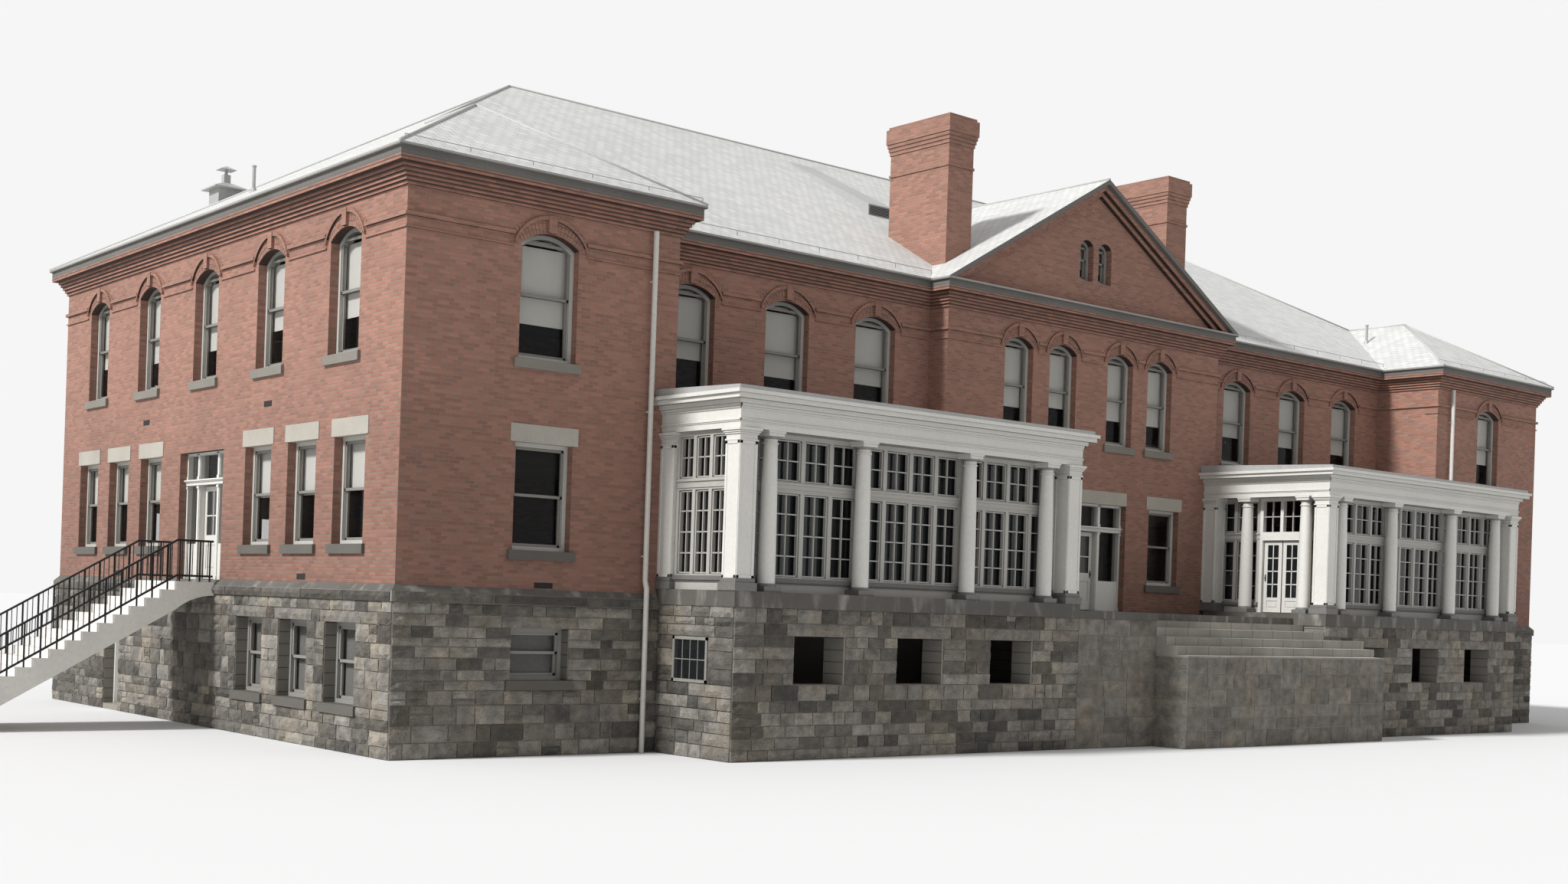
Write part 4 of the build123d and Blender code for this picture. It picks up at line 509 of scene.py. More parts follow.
def glass_material(name, alpha):
    paint = Paint(name, Metallic=0.0, Alpha=alpha, Specular_IOR_Level=0.5)
    wave = paint.noise(3.0, 1.0)
    paint.color(paint.shaded((0.010, 0.012, 0.013), wave * 0.6 + 0.7))
    paint.roughness(wave * 0.05 + 0.03)
    paint.bump(wave, 0.0015, 0.35)
    return paint.material


def boards_material(name, color, width):
    """Floor boards that run along X."""
    paint = Paint(name, Roughness=0.6)
    x, y, _ = paint.xyz()
    board = (y / width).floor()
    gap = (y / width).fract().smooth(0.0, 0.04)
    grain = paint.noise(6.0, 5.0, paint.join(x * 0.6, y * 9.0))
    tone = paint.chance(board, board) * 0.4 + 0.8
    paint.color(paint.mix(gap, (0.03, 0.02, 0.015), paint.shaded(color, tone * (grain * 0.6 + 0.7))))
    paint.bump(gap + grain * 0.2, 0.002, 0.7)
    return paint.material


def iron_material():
    paint = Paint("wrought_iron", Metallic=0.4)
    rust = paint.noise(18.0, 4.0)
    paint.color(paint.mix(rust.smooth(0.55, 0.75), (0.018, 0.018, 0.018), (0.06, 0.035, 0.022)))
    paint.roughness(rust * 0.3 + 0.45)
    paint.bump(rust, 0.0006, 0.5)
    return paint.material


# Finish: name of the material, colour, roughness, wear, painted shade on undersides, painted shade
# on arched heads with darker basement frames
PAINTS = {
    "ridge_slate": ("ridge_slates", (0.46, 0.46, 0.445), 0.6, 0.25),
    "white_timber": ("white_paint", (0.64, 0.63, 0.59), 0.45, 0.20, 0.68),
    "sash_timber": ("frame_paint", (0.47, 0.46, 0.425), 0.5, 0.2, 0.5, 0.45),
    "dark_sash": ("sash_paint", (0.20, 0.19, 0.17), 0.5, 0.3, 0.6),
    "low_sash": ("basement_sash_paint", (0.24, 0.232, 0.21), 0.5, 0.3, 0.5),
    "screen_timber": ("screen_paint", (0.40, 0.39, 0.36), 0.5, 0.2, 0.5),
    "door_timber": ("door_paint", (0.60, 0.59, 0.55), 0.45, 0.16),
    "painted_metal": ("weathered_metal", (0.16, 0.155, 0.15), 0.5, 0.35),
    "pale_metal": ("galvanized_sheet", (0.36, 0.36, 0.355), 0.45, 0.3),
    "spout_metal": ("spout_paint", (0.58, 0.56, 0.52), 0.5, 0.3),
    "shade": ("linen_shade", (0.84, 0.82, 0.76), 0.9, 0.12),
    "dusty": ("dusty_blind", (0.24, 0.235, 0.215), 0.9, 0.4),
    "plinth_paint": ("plinth_paint", (0.15, 0.145, 0.135), 0.6, 0.5),
    # void: black sheets of painted shade in vent openings
    "void": ("painted_shade_black", (0.012, 0.012, 0.012), 0.9, 0.3),
}
# near-black glass, nearly or fully opaque in porches and doors: painted shade standing in for the
# dark rooms behind
GLASSES = {"glass": ("window_glass", 0.16), "dark_glass": ("porch_panes", 0.88),
           "dark_pane": ("door_panes", 1.0)}


def make_materials(school):
    """Every material by the name of its finish."""
    steps = Paint("pale_steps", Roughness=0.85)
    return {
        "brick": brick_material(school.brick),
        "rough_stone": stone_material(school.stone),
        "mortar": base_material("rubble_mortar", school.stone, TABLE_HIGH),
        "porch_base": base_material("porch_mortar", school.stone, PORCH_COURSE_LOW),
        "cornice": cornice_material(school.brick, FASCIA_LOW),
        "dressed_stone": trim_material(BASE_TOP + 1.34, BASE_TOP + 1.52),
        "steps": step_material(),
        "concrete": steps.dress((0.70, 0.685, 0.645), 0.4, scales=(1.7, 25.0)),
        "slate": slate_material(school.roof),
        "dark_iron": iron_material(),
        "floor_boards": boards_material("floor_boards", (0.20, 0.12, 0.07), 0.06),
        **{finish: painted_material(*values) for finish, values in PAINTS.items()},
        **{finish: glass_material(*values) for finish, values in GLASSES.items()},
    }


MATERIALS = {}

# Nodes whose finish isn't the one of their slot, which has the slot's own name in most cases
SLOT_FINISH = {"rough_stone": "mortar"}
FINISH_NODES = {
    "pale_metal": ("porch_roofs", "roof_ventilators"),
    "spout_metal": ("downspouts",),
    "porch_base": ("porch_base_fronts", "porch_base_ends", "terrace"),
    "steps": ("court_steps",),
    "cornice": ("side_cornices", "wing_cornices", "back_cornice", "main_front_cornice"),
    "white_timber": ("side_door_frames", "main_door_frame", "porch_door_frames"),
    "dark_glass": ("porch_glass",),
    "screen_timber": ("porch_screens",),
}
NODE_FINISH = {node: finish for finish, nodes in FINISH_NODES.items() for node in nodes}


# Geometry helpers
def island_boxes(name):
    """(low, high) of each separate solid of a CAD node."""
    mesh = bmesh.new()
    mesh.from_mesh(NODES[name].data)
    bmesh.ops.remove_doubles(mesh, verts=mesh.verts, dist=1e-5)
    seen = set()
    boxes = []
    for start in mesh.verts:
        if start in seen:
            continue
        todo = [start]
        seen.add(start)
        low, high = start.co.copy(), start.co.copy()
        while todo:
            vert = todo.pop()
            low = Vector(map(min, low, vert.co))
            high = Vector(map(max, high, vert.co))
            for edge in vert.link_edges:
                other = edge.other_vert(vert)
                if other not in seen:
                    seen.add(other)
                    todo.append(other)
        boxes.append((low, high))
    mesh.free()
    return boxes


def wall_matrix(axis, sign, level, middle=0.0):
    """Local u along the wall, v into the building and z up, for a face at level on that axis."""
    if axis == "Y":
        along, inward = Vector((-sign, 0, 0)), Vector((0, -sign, 0))
        origin = Vector((middle, level, 0))
    else:
        along, inward = Vector((0, sign, 0)), Vector((-sign, 0, 0))
        origin = Vector((level, middle, 0))
    turn = Matrix((along, inward, Vector((0, 0, 1)))).transposed().to_4x4()
    return Matrix.Translation(origin) @ turn


def facing(low, high):
    """Axis and outward sign of a thin piece that lies in an outer wall."""
    if high.x - low.x < high.y - low.y:
        return "X", (1 if low.x > 0 else -1)
    return "Y", (1 if low.y > 0 else -1)


class Builder:
    """Collects simple forms in one mesh and turns them into a piece that rides on a body."""

    def __init__(self):
        self.mesh = bmesh.new()
        self.tone = self.mesh.faces.layers.float.new("tone")

    def box(self, place, u0, u1, v0, v1, z0, z1):
        size = (abs(u1 - u0), abs(v1 - v0), abs(z1 - z0))
        middle = ((u0 + u1) / 2, (v0 + v1) / 2, (z0 + z1) / 2)
        matrix = place @ Matrix.Translation(middle) @ Matrix.Diagonal((*size, 1))
        return bmesh.ops.create_cube(self.mesh, size=1, matrix=matrix)["verts"]

    def border(self, place, half, v0, v1, z0, z1, stile, rail):
        """Two stiles and two rails round an opening."""
        for s in (-1, 1):
            self.box(place, s * half, s * (half - stile), v0, v1, z0, z1)
        self.box(place, -half, half, v0, v1, z0, z0 + rail)
        self.box(place, -half, half, v0, v1, z1 - rail, z1)

    def bands(self, place, half, back, rows):
        """Bands along a wall, each with how far it stands out and its two heights."""
        for out, z0, z1 in rows:
            self.box(place, -half, half, -out, back, z0, z1)

    def rod(self, start, end, radius, sides=10, end_radius=None):
        start, end = Vector(start), Vector(end)
        turn = (end - start).to_track_quat("Z", "Y").to_matrix().to_4x4()
        bmesh.ops.create_cone(self.mesh, cap_ends=True, segments=sides, radius1=radius,
                              radius2=radius if end_radius is None else end_radius,
                              depth=(end - start).length,
                              matrix=Matrix.Translation((start + end) / 2) @ turn)

    def ball(self, place, radius):
        matrix = Matrix.Translation(place)
        bmesh.ops.create_icosphere(self.mesh, subdivisions=2, radius=radius, matrix=matrix)

    def finish(self, name, finish, slot, body="building", bevel=0.0, smooth=False):
        if not self.mesh.faces:
            raise RuntimeError(f"{name} has no faces")
        data = bpy.data.meshes.new(name)
        if smooth:
            for face in self.mesh.faces:
                face.smooth = True
        self.mesh.to_mesh(data)
        self.mesh.free()
        piece = bpy.data.objects.new(name, data)
        bpy.context.scene.collection.objects.link(piece)
        data.materials.append(MATERIALS[finish])
        if bevel:
            cut = piece.modifiers.new("edges", "BEVEL")
            cut.width = bevel
            cut.segments = 2
            cut.limit_method = "ANGLE"
        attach(piece, body)
        return piece


# Rubble walls
def cut_spans(spans, low, high):
    """The spans of u that are left when low to high is taken out."""
    left = []
    for a, b in spans:
        if high <= a or low >= b:
            left.append((a, b))
            continue
        if low > a:
            left.append((a, low))
        if high < b:
            left.append((high, b))
    return left


class Mason:
    """Lays stones on one wall face."""

    def __init__(self, builder, settings, place, rng):
        self.builder = builder
        self.settings = settings
        self.place = place
        self.rng = rng

    def rubble(self, u0, u1, z0, z1, holes):
        """Rock-faced stones in uneven courses, round the holes of the face.

        A hole is (u low, u high, z low, z high, lintel height)."""
        rng = self.rng
        breaks = {round(z0, 4), round(z1, 4)}
        for _, _, foot, head, lintel in holes:
            breaks.update(round(z, 4) for z in (foot, head, head + lintel) if z0 < z < z1)
        breaks = sorted(breaks)
        for low, high in zip(breaks, breaks[1:]):
            wanted = rng.uniform(self.settings.low * 1.15, self.settings.high * 0.92)
            count = max(1, round((high - low) / wanted))
            weights = [rng.uniform(0.8, 1.25) for _ in range(count)]
            level = low
            for weight in weights:
                top = level + (high - low) * weight / sum(weights)
                middle = (level + top) / 2
                spans = [(u0, u1)]
                for left, right, foot, head, lintel in holes:
                    if foot < middle < head + lintel:
                        wider = 0.0 if middle < head else LINTEL_END
                        spans = cut_spans(spans, left - wider, right + wider)
                for span in spans:
                    self.course(*span, level, top)
                level = top
        for left, right, _, head, lintel in holes:
            if lintel:
                self.stone(left - LINTEL_END, right + LINTEL_END, head, head + lintel, LINTEL_TONE)

    def table(self, u0, u1):
        """The long dark rock-faced stones of the water table."""
        count = max(1, round((u1 - u0) / TABLE_STONE))
        for k in range(count):
            a, b = (u0 + (u1 - u0) * end / count for end in (k, k + 1))
            self.stone(a, b, TABLE_LOW, TABLE_HIGH, self.rng.uniform(0.0, 0.25))

    def course(self, a, b, level, top):
        """One course of stones, some of them two on top of each other."""
        settings, rng = self.settings, self.rng
        height = top - level
        u = a
        while b - u > 1e-4:
            step = rng.uniform(settings.short, settings.long)
            if b - u - step < settings.short:
                step = b - u if b - u < settings.long * 1.2 else (b - u) / 2
            tall = height > settings.high * 0.75 and step < settings.long * 0.7
            if tall and rng.random() < 0.3:
                middle = level + height * rng.uniform(0.4, 0.6)
                self.stone(u, u + step, level, middle)
                self.stone(u, u + step, middle, top)
            else:
                self.stone(u, u + step, level, top)
            u += step

    def stone(self, u0, u1, z0, z1, tone=None):
        """One stone: a grid over its face, pulled out unevenly, with its rim sunk in the joint."""
        settings, place, rng, mesh = self.settings, self.place, self.rng, self.builder.mesh
        gap = settings.joint / 2
        a, b, low, high = u0 + gap, u1 - gap, z0 + gap, z1 - gap
        if b - a < 0.02 or high - low < 0.02:
            return
        columns = max(2, min(12, round((b - a) / 0.07)))
        rows = 2 if high - low < 0.12 else 3
        matrix = place @ Matrix.Translation(((a + b) / 2, 0, (low + high) / 2))
        matrix = matrix @ Matrix.Rotation(math.pi / 2, 4, "X")
        matrix = matrix @ Matrix.Diagonal((b - a, high - low, 1, 1))
        made = bmesh.ops.create_grid(mesh, x_segments=columns, y_segments=rows, size=0.5,
                                     matrix=matrix)["verts"]
        turn = place.to_3x3()
        outward = -(turn @ Vector((0, 1, 0)))
        back = place.inverted()
        lean = rng.uniform(-0.3, 0.3)
        for vert in made:
            local = back @ vert.co
            rim = min(local.x - a, b - local.x, local.z - low, high - local.z) < 1e-5
            out = settings.rough * (rng.uniform(0.05, 0.35) if rim else rng.uniform(0.45, 1.0))
            out *= 1 + lean * (local.x - (a + b) / 2) / (b - a)
            vert.co += outward * (0.004 + out)
            if not rim:
                across, up = rng.uniform(-0.012, 0.012), rng.uniform(-0.008, 0.008)
                vert.co += turn @ Vector((across, 0, up))
        shade = rng.uniform(*settings.tones) if tone is None else tone
        faces = list(dict.fromkeys(face for vert in made for face in vert.link_faces))
        edges = dict.fromkeys(edge for face in faces for edge in face.edges)
        rims = [edge for edge in edges if edge.is_boundary]
        for item in bmesh.ops.extrude_edge_only(mesh, edges=rims)["geom"]:
            if isinstance(item, bmesh.types.BMVert):
                local = back @ item.co
                item.co = place @ Vector((local.x, 0.002, local.z))
            elif isinstance(item, bmesh.types.BMFace):
                faces.append(item)
        for face in faces:
            face[self.builder.tone] = shade


def clamp_in(value, pull, limits):
    """The value, kept that far inside its limits."""
    return max(limits[0] + pull, min(limits[1] - pull, value))


def local_u(place, point):
    return (place.inverted() @ Vector(point)).x


def u_range(place, *ends):
    """Lowest and highest u of two points, or of two distances along the wall."""
    points = (end if isinstance(end, Vector) else (end, end, 0) for end in ends)
    return sorted(local_u(place, point) for point in points)


def base_holes(node, place, axis, sign, level):
    """Holes for the basement windows of one wall face and for the sill below each."""
    holes = []
    for low, high in island_boxes(node):
        near = abs((low.x if axis == "X" else low.y) - level) < 0.4
        if near and high.z <= TABLE_LOW and facing(low, high) == (axis, sign):
            left, right = u_range(place, low, high)
            holes.append((left - 0.05, right + 0.05, low.z - SILL_STONE, low.z, 0.0))
            holes.append((left, right, low.z, high.z, LINTEL))
    return holes


def stone_faces():
    """Name, place, u range, z range and holes of every rubble face."""
    faces = []

    def add(name, place, span, bottom=0.0, top=TABLE_LOW, holes=()):
        faces.append((name, place, *span, bottom, top, holes))

    for sign in (-1, 1):
        level = sign * (SIDE_FACE + STONE_PROUD)
        side = wall_matrix("X", sign, level)
        span = u_range(side, WING_FACE - STONE_PROUD, BACK_FACE + STONE_PROUD)
        holes = base_holes("side_window_frames", side, "X", sign, level)
        for low, high in island_boxes("side_door_frames"):
            if high.z < TABLE_LOW and (low.x > 0) == (sign > 0):
                holes.append((*u_range(side, low, high), 0.0, high.z, LINTEL))
        add("side", side, span, holes=holes)
        side_table = wall_matrix("X", sign, sign * (SIDE_FACE + TABLE_PROUD))
        add("side", side_table, span, TABLE_LOW, TABLE_HIGH)
        wing = wall_matrix("Y", -1, WING_FACE - STONE_PROUD)
        span = sorted((sign * (SIDE_FACE + STONE_PROUD), sign * (WING_INNER - STONE_PROUD)))
        holes = base_holes("front_window_frames", wing, "Y", -1, WING_FACE)
        add("front", wing, span, holes=[hole for hole in holes if span[0] < hole[0] < span[1]])
        add("front", wall_matrix("Y", -1, WING_FACE - TABLE_PROUD), span, TABLE_LOW, TABLE_HIGH)
        span = sorted((sign * PORCH_OUTER, sign * PORCH_INNER))
        middle = sum(span) / 2
        holes = [(middle + x - BASE_WINDOW_HALF, middle + x + BASE_WINDOW_HALF, BASE_WINDOW_SILL,
                  CELLAR_HEAD, PORCH_LINTEL) for x in BASE_WINDOW_X]
        add("porch", wall_matrix("Y", -1, PORCH_FACE), span, 0.0, PORCH_COURSE_LOW, holes)
        end = wall_matrix("X", sign, sign * PORCH_OUTER)
        holes = [(*u_range(end, *END_WINDOW[:2]), *END_WINDOW[2:], LINTEL)]
        span = u_range(end, PORCH_FACE, WING_FACE - TABLE_PROUD)
        add("porch", end, span, 0.0, PORCH_COURSE_LOW, holes)
    reach = SIDE_FACE + STONE_PROUD
    add("back", wall_matrix("Y", 1, BACK_FACE + STONE_PROUD), (-reach, reach))
    back_table = wall_matrix("Y", 1, BACK_FACE + TABLE_PROUD)
    add("back", back_table, (-reach, reach), TABLE_LOW, TABLE_HIGH)
    court = wall_matrix("Y", -1, PORCH_FACE)
    add("court", court, (-PORCH_INNER, TERRACE_END), 0.0, PORCH_COURSE_LOW)
    steps_top = STEPS_LOW - 0.02
    add("court", wall_matrix("Y", -1, STEPS_FACE), (TERRACE_END, STEPS_END), 0.0, steps_top)
    for sign, level in ((-1, TERRACE_END), (1, STEPS_END)):
        end = wall_matrix("X", sign, level)
        add("court", end, u_range(end, STEPS_FACE, PORCH_FACE), 0.0, steps_top)
    return faces


COURT_BLOCKS = SimpleNamespace(low=0.15, high=0.19, short=0.30, long=0.52, joint=0.010, rough=0.008,
                               tones=(0.40, 0.72))


class SCHOOL_OT_rubble(bpy.types.Operator):
    """Lay rock-faced stones over the basement walls, the porch bases and the terrace"""
    bl_idname = "school.rubble"
    bl_label = "Lay the rubble"

    def execute(self, context):
        settings = context.scene.school.stone
        rng = Random(settings.seed)
        builders = {name: Builder() for name in ("side", "front", "porch", "back", "court")}
        for name, place, u0, u1, z0, z1, holes in stone_faces():
            stones = COURT_BLOCKS if name == "court" else settings
            mason = Mason(builders[name], stones, place, rng)
            if z0 == TABLE_LOW:
                mason.table(u0, u1)
            else:
                mason.rubble(u0, u1, z0, z1, holes)
        for name, builder in builders.items():
            builder.finish(f"{name}_rubble_stones", "rough_stone", "rough_stone")
        return {"FINISHED"}


class SCHOOL_OT_materials(bpy.types.Operator):
    """Make the materials and give each CAD node its own"""
    bl_idname = "school.materials"
    bl_label = "Paint the frame"

    def execute(self, context):
        school = context.scene.school
        MATERIALS.update(make_materials(school))
        slots = {part["node"]: part["material_slot"] for part in frame["record"]["subparts"]}
        for name, node in NODES.items():
            finish = NODE_FINISH.get(name) or SLOT_FINISH.get(slots[name], slots[name])
            if not node.material_slots:
                raise RuntimeError(f"{name} has no material slot")
            for slot in node.material_slots:
                slot.material = MATERIALS[finish]
        return {"FINISHED"}


def window_place(low, high):
    """Matrix with u = 0 at the window's middle and v = 0 at its frame's outer face; its width."""
    axis, sign = facing(low, high)
    outer = high if sign > 0 else low
    middle = (low + high) / 2
    if axis == "X":
        return wall_matrix("X", sign, outer.x, middle.y), high.y - low.y
    return wall_matrix("Y", sign, outer.y, middle.x), high.x - low.x


def sash_window(pieces, settings, low, high, rng):
    """Two sliding sashes in one frame and the shade drawn behind them."""
    place, width = window_place(low, high)
    arched = high.z > UPPER_SPRING
    in_basement = high.z < TABLE_LOW
    inner = width / 2 - FRAME_EDGE
    z0 = low.z + FRAME_EDGE
    z1 = high.z - (ARCH_EDGE if arched else FRAME_EDGE)
    middle = (low.z + high.z) / 2
    sashes = pieces.basement if in_basement else pieces.sashes
    for bottom, top, v in ((middle, z1, 0.010), (z0, middle + settings.meeting, 0.034)):
        sashes.border(place, inner, v, v + SASH_THICK, bottom, top, settings.stile, settings.meeting)
    edge = width / 2 - SHADE_SIDE
    if in_basement:
        pieces.blinds.box(place, -edge, edge, *SHADE_DEPTH, z0, z1)
        return
    if not arched and facing(low, high) == ("Y", -1):
        return
    part = rng.choice((1.3, 1.36, 1.4) if arched else (0.95, 1.0))
    foot = high.z - 0.01 - (high.z - low.z) * settings.shade * part
    pieces.shades.box(place, -edge, edge, *SHADE_DEPTH, foot, high.z - (0.10 if arched else 0.01))
    if arched:
        for part, gap in ((0.80, 0.080), (0.55, 0.045)):
            edge = width / 2 * part
            pieces.shades.box(place, -edge, edge, *SHADE_DEPTH, high.z - 0.11, high.z - gap)


class SCHOOL_OT_sashes(bpy.types.Operator):
    """Put sliding sashes and drawn shades in every window frame"""
    bl_idname = "school.sashes"
    bl_label = "Hang the sashes"

    def execute(self, context):
        rng = Random(3)
        for name in ("side", "front", "back"):
            pieces = SimpleNamespace(sashes=Builder(), shades=Builder(), blinds=Builder(),
                                     basement=Builder())
            for low, high in island_boxes(f"{name}_window_frames"):
                sash_window(pieces, context.scene.school.sash, low, high, rng)
            pieces.sashes.finish(f"{name}_sashes", "dark_sash", "sash_timber", bevel=0.002)
            pieces.shades.finish(f"{name}_shades", "shade", "dressed_stone")
            if pieces.blinds.mesh.faces:
                pieces.blinds.finish(f"{name}_basement_blinds", "dusty", "dressed_stone")
                pieces.basement.finish(f"{name}_basement_sashes", "low_sash", "sash_timber",
                                       bevel=0.002)
        return {"FINISHED"}


def arch_points(half, rise, count):
    """Angles and radius of a segmental arch of that half width and rise."""
    radius = (half * half + rise * rise) / (2 * rise)
    limit = math.asin(min(1.0, half / radius))
    return radius, [-limit + 2 * limit * k / count for k in range(count + 1)]


class SCHOOL_OT_arches(bpy.types.Operator):
    """Turn a ring of bricks over every arched window"""
    bl_idname = "school.arches"
    bl_label = "Turn the arches"

    def execute(self, context):
        builder = Builder()
        rings, bricks, depth = ARCH_RINGS, ARCH_BRICKS, ARCH_DEPTH
        for side in ("side", "front", "back"):
            for low, high in island_boxes(f"{side}_window_frames"):
                if high.z < UPPER_SPRING or high.z > UPPER_SPRING + 0.5:
                    continue
                place, width = window_place(low, high)
                radius, angles = arch_points(width / 2, ARCH_RISE, bricks)
                centre = place @ Matrix.Translation((0, -0.085, 0))
                centre = centre @ Matrix.Translation((0, 0, high.z - radius))
                for ring in range(rings):
                    inner = radius + ring * depth
                    for a, b in zip(angles, angles[1:]):
                        turn = centre @ Matrix.Rotation((a + b) / 2, 4, "Y")
                        half = inner * (b - a) / 2 - 0.0025
                        builder.box(turn, -half, half, -0.005, 0.0, inner + 0.002,
                                    inner + depth - 0.003)
        builder.finish("brick_arches", "brick", "brick")
        return {"FINISHED"}


FLAT = Matrix.Identity(4)


def wrap(builder, low, high, proud, z0, z1):
    """A band round an upright post, standing proud of its faces."""
    builder.box(FLAT, low.x - proud, high.x + proud, low.y - proud, high.y + proud, z0, z1)


def post_mouldings(trim, plinths, low, high):
    """Cap, neck band, sunk panels and a two-step base for a square pilaster."""
    for proud, z0, z1 in ((0.034, 0.026, 0.0), (0.022, 0.044, 0.026), (0.012, 0.060, 0.044),
                          (0.010, 0.120, 0.104)):
        wrap(trim, low, high, proud, high.z - z0, high.z - z1)
    for proud, z0, z1 in ((0.028, 0.0, 0.075), (0.014, 0.075, 0.115)):
        wrap(plinths, low, high, proud, low.z + z0, low.z + z1)
    half = (high.x - low.x) / 2
    x, y = (low.x + high.x) / 2, (low.y + high.y) / 2
    for axis, sign, level, middle in (("X", -1, low.x, y), ("X", 1, high.x, y),
                                      ("Y", -1, low.y, x)):
        trim.border(wall_matrix(axis, sign, level, middle), half, -0.007, 0.001, low.z + 0.115,
                    high.z - 0.120, 0.03, 0.03)


def column_mouldings(trim, plinths, low, high):
    """Echinus and neck ring under the cap, and a ring on a square plinth at the foot."""
    x, y = (low.x + high.x) / 2, (low.y + high.y) / 2
    middle = Vector((x, y, 0))
    trim.rod((x, y, high.z - 0.076), (x, y, high.z - 0.050), 0.070, 32, 0.092)
    trim.rod((x, y, high.z - 0.122), (x, y, high.z - 0.108), 0.078, 32)
    wrap(trim, middle, middle, 0.104, high.z - 0.020, high.z)
    wrap(plinths, middle, middle, 0.105, low.z, low.z + 0.052)
    plinths.rod((x, y, low.z + 0.052), (x, y, low.z + 0.078), 0.100, 32, 0.092)


def entablature_mouldings(trim, sign):
    """Two narrow bands on the beam and a bed mould under the cornice, on the porch's three faces."""
    outer, inner = sign * PORCH_OUTER, sign * PORCH_INSIDE
    for axis, side, level, span in (("Y", -1, PORCH_FACE, (outer, inner)),
                                    ("X", sign, outer, (PORCH_FACE, WING_FACE)),
                                    ("X", -sign, inner, (PORCH_FACE, PAVILION_FACE))):
        place = wall_matrix(axis, side, level)
        left, right = u_range(place, *span)
        for proud, z0, z1 in FRIEZE:
            trim.box(place, left - proud, right + proud, -proud, 0.001, z0, z1)


def porch_screens():
    """Matrix, length and number of lights of each glazed screen of the two porches."""
    for sign in (-1, 1):
        middle = sign * (PORCH_OUTER + PORCH_INSIDE) / 2
        length = PORCH_OUTER - PORCH_INSIDE - 2 * PILASTER
        yield wall_matrix("Y", -1, SCREEN_FRONT, middle), length, SCREEN_LIGHTS
        for side, distance, middle, length, lights in END_SCREENS:
            yield wall_matrix("X", side * sign, sign * distance, middle), length, lights


def screen_light(builder, place, a, b, z0, z1, rows, half):
    """The rim and the glazing bars of one light; half is half a bar's width."""
    near, far = 0.004, 0.018
    for u0, u1, low, high in ((a + near, a + far, z0, z1), (b - far, b - near, z0, z1),
                              (a + near, b - near, z0 + near, z0 + far),
                              (a + near, b - near, z1 - far, z1 - near)):
        builder.box(place, u0, u1, *LIGHT_DEPTH, low, high)
    middle = (a + b) / 2
    builder.box(place, middle - half, middle + half, *BAR_DEPTH, z0, z1)
    for row in range(1, rows):
        z = z0 + (z1 - z0) * row / rows
        builder.box(place, a, b, *BAR_DEPTH, z - half, z + half)


def glaze_porches(settings):
    """Glazing bars, sills and rails of the screens, and the bars over the double doors."""
    builder, sills = Builder(), Builder()
    half = settings.bar / 2
    foot = SCREEN_SILL - SCREEN_POST
    rail_low, rail_high = SCREEN_RAIL
    for place, length, lights in porch_screens():
        pitch = (length - SCREEN_POST) / lights
        for k in range(lights):
            a = -length / 2 + SCREEN_POST + k * pitch
            b = a + pitch - SCREEN_POST
            screen_light(builder, place, a, b, SCREEN_SILL, rail_low, 4, half)
            screen_light(builder, place, a, b, rail_high, SCREEN_HEAD, 2, half)
        sills.bands(place, length / 2, 0.0, ((0.026, foot - 0.012, SCREEN_SILL - 0.014),
                                             (0.014, foot - 0.026, foot - 0.012)))
        builder.bands(place, length / 2, 0.0, ((0.010, rail_low + 0.02, rail_low + 0.032),
                                               (0.014, rail_high - 0.03, rail_high - 0.012)))
    near, far = SCREEN_POST / 2, PORCH_DOOR_HALF - SCREEN_POST
    z = (rail_high + SCREEN_HEAD) / 2
    for sign in (-1, 1):
        place = wall_matrix("X", -sign, sign * (PORCH_INSIDE + PILASTER), PORCH_DOOR_Y)
        for s in (-1, 1):
            middle = s * (near + far) / 2
            builder.box(place, middle - half, middle + half, *BAR_DEPTH, rail_high, SCREEN_HEAD)
            builder.box(place, s * near, s * far, *BAR_DEPTH, z - half, z + half)
    builder.finish("porch_glazing_bars", "screen_timber", "white_timber", bevel=0.0015)
    sills.finish("porch_sills", "plinth_paint", "white_timber", bevel=0.002)


def end_windows():
    """A dark pane and a barred frame on the outer end of each porch base."""
    panes, grates = Builder(), Builder()
    front, back, low, high = END_WINDOW
    half = (back - front) / 2 - 0.004
    low, high = low + 0.004, high - 0.004
    middle = (low + high) / 2
    for sign in (-1, 1):
        place = wall_matrix("X", sign, sign * PORCH_OUTER, (front + back) / 2)
        # opaque black pane: painted shade of the dark space behind the grate
        panes.box(place, -half, half, -0.004, 0.0, low, high)
        grates.border(place, half, -0.016, 0.0, low, high, 0.030, 0.030)
        for u in (-0.12, 0.0, 0.12):
            grates.box(place, u - 0.003, u + 0.003, -0.010, 0.0, low, high)
        grates.box(place, -half, half, -0.010, 0.0, middle - 0.004, middle + 0.004)
    panes.finish("porch_base_panes", "dark_pane", "glass")
    grates.finish("porch_base_grates", "low_sash", "sash_timber")


class SCHOOL_OT_porches(bpy.types.Operator):
    """Fit glazing bars, panels and mouldings to the two porches"""
    bl_idname = "school.porches"
    bl_label = "Fit out the porches"

    def execute(self, context):
        end_windows()
        glaze_porches(context.scene.school.sash)
        trim, plinths = Builder(), Builder()
        for low, high in island_boxes("porch_columns"):
            square = high.x - low.x > COLUMN_WIDTH
            mouldings = post_mouldings if square else column_mouldings
            mouldings(trim, plinths, low, high)
        for sign in (-1, 1):
            entablature_mouldings(trim, sign)
        trim.finish("porch_mouldings", "white_timber", "white_timber", bevel=0.002)
        plinths.finish("porch_plinths", "plinth_paint", "white_timber", bevel=0.003)
        return {"FINISHED"}


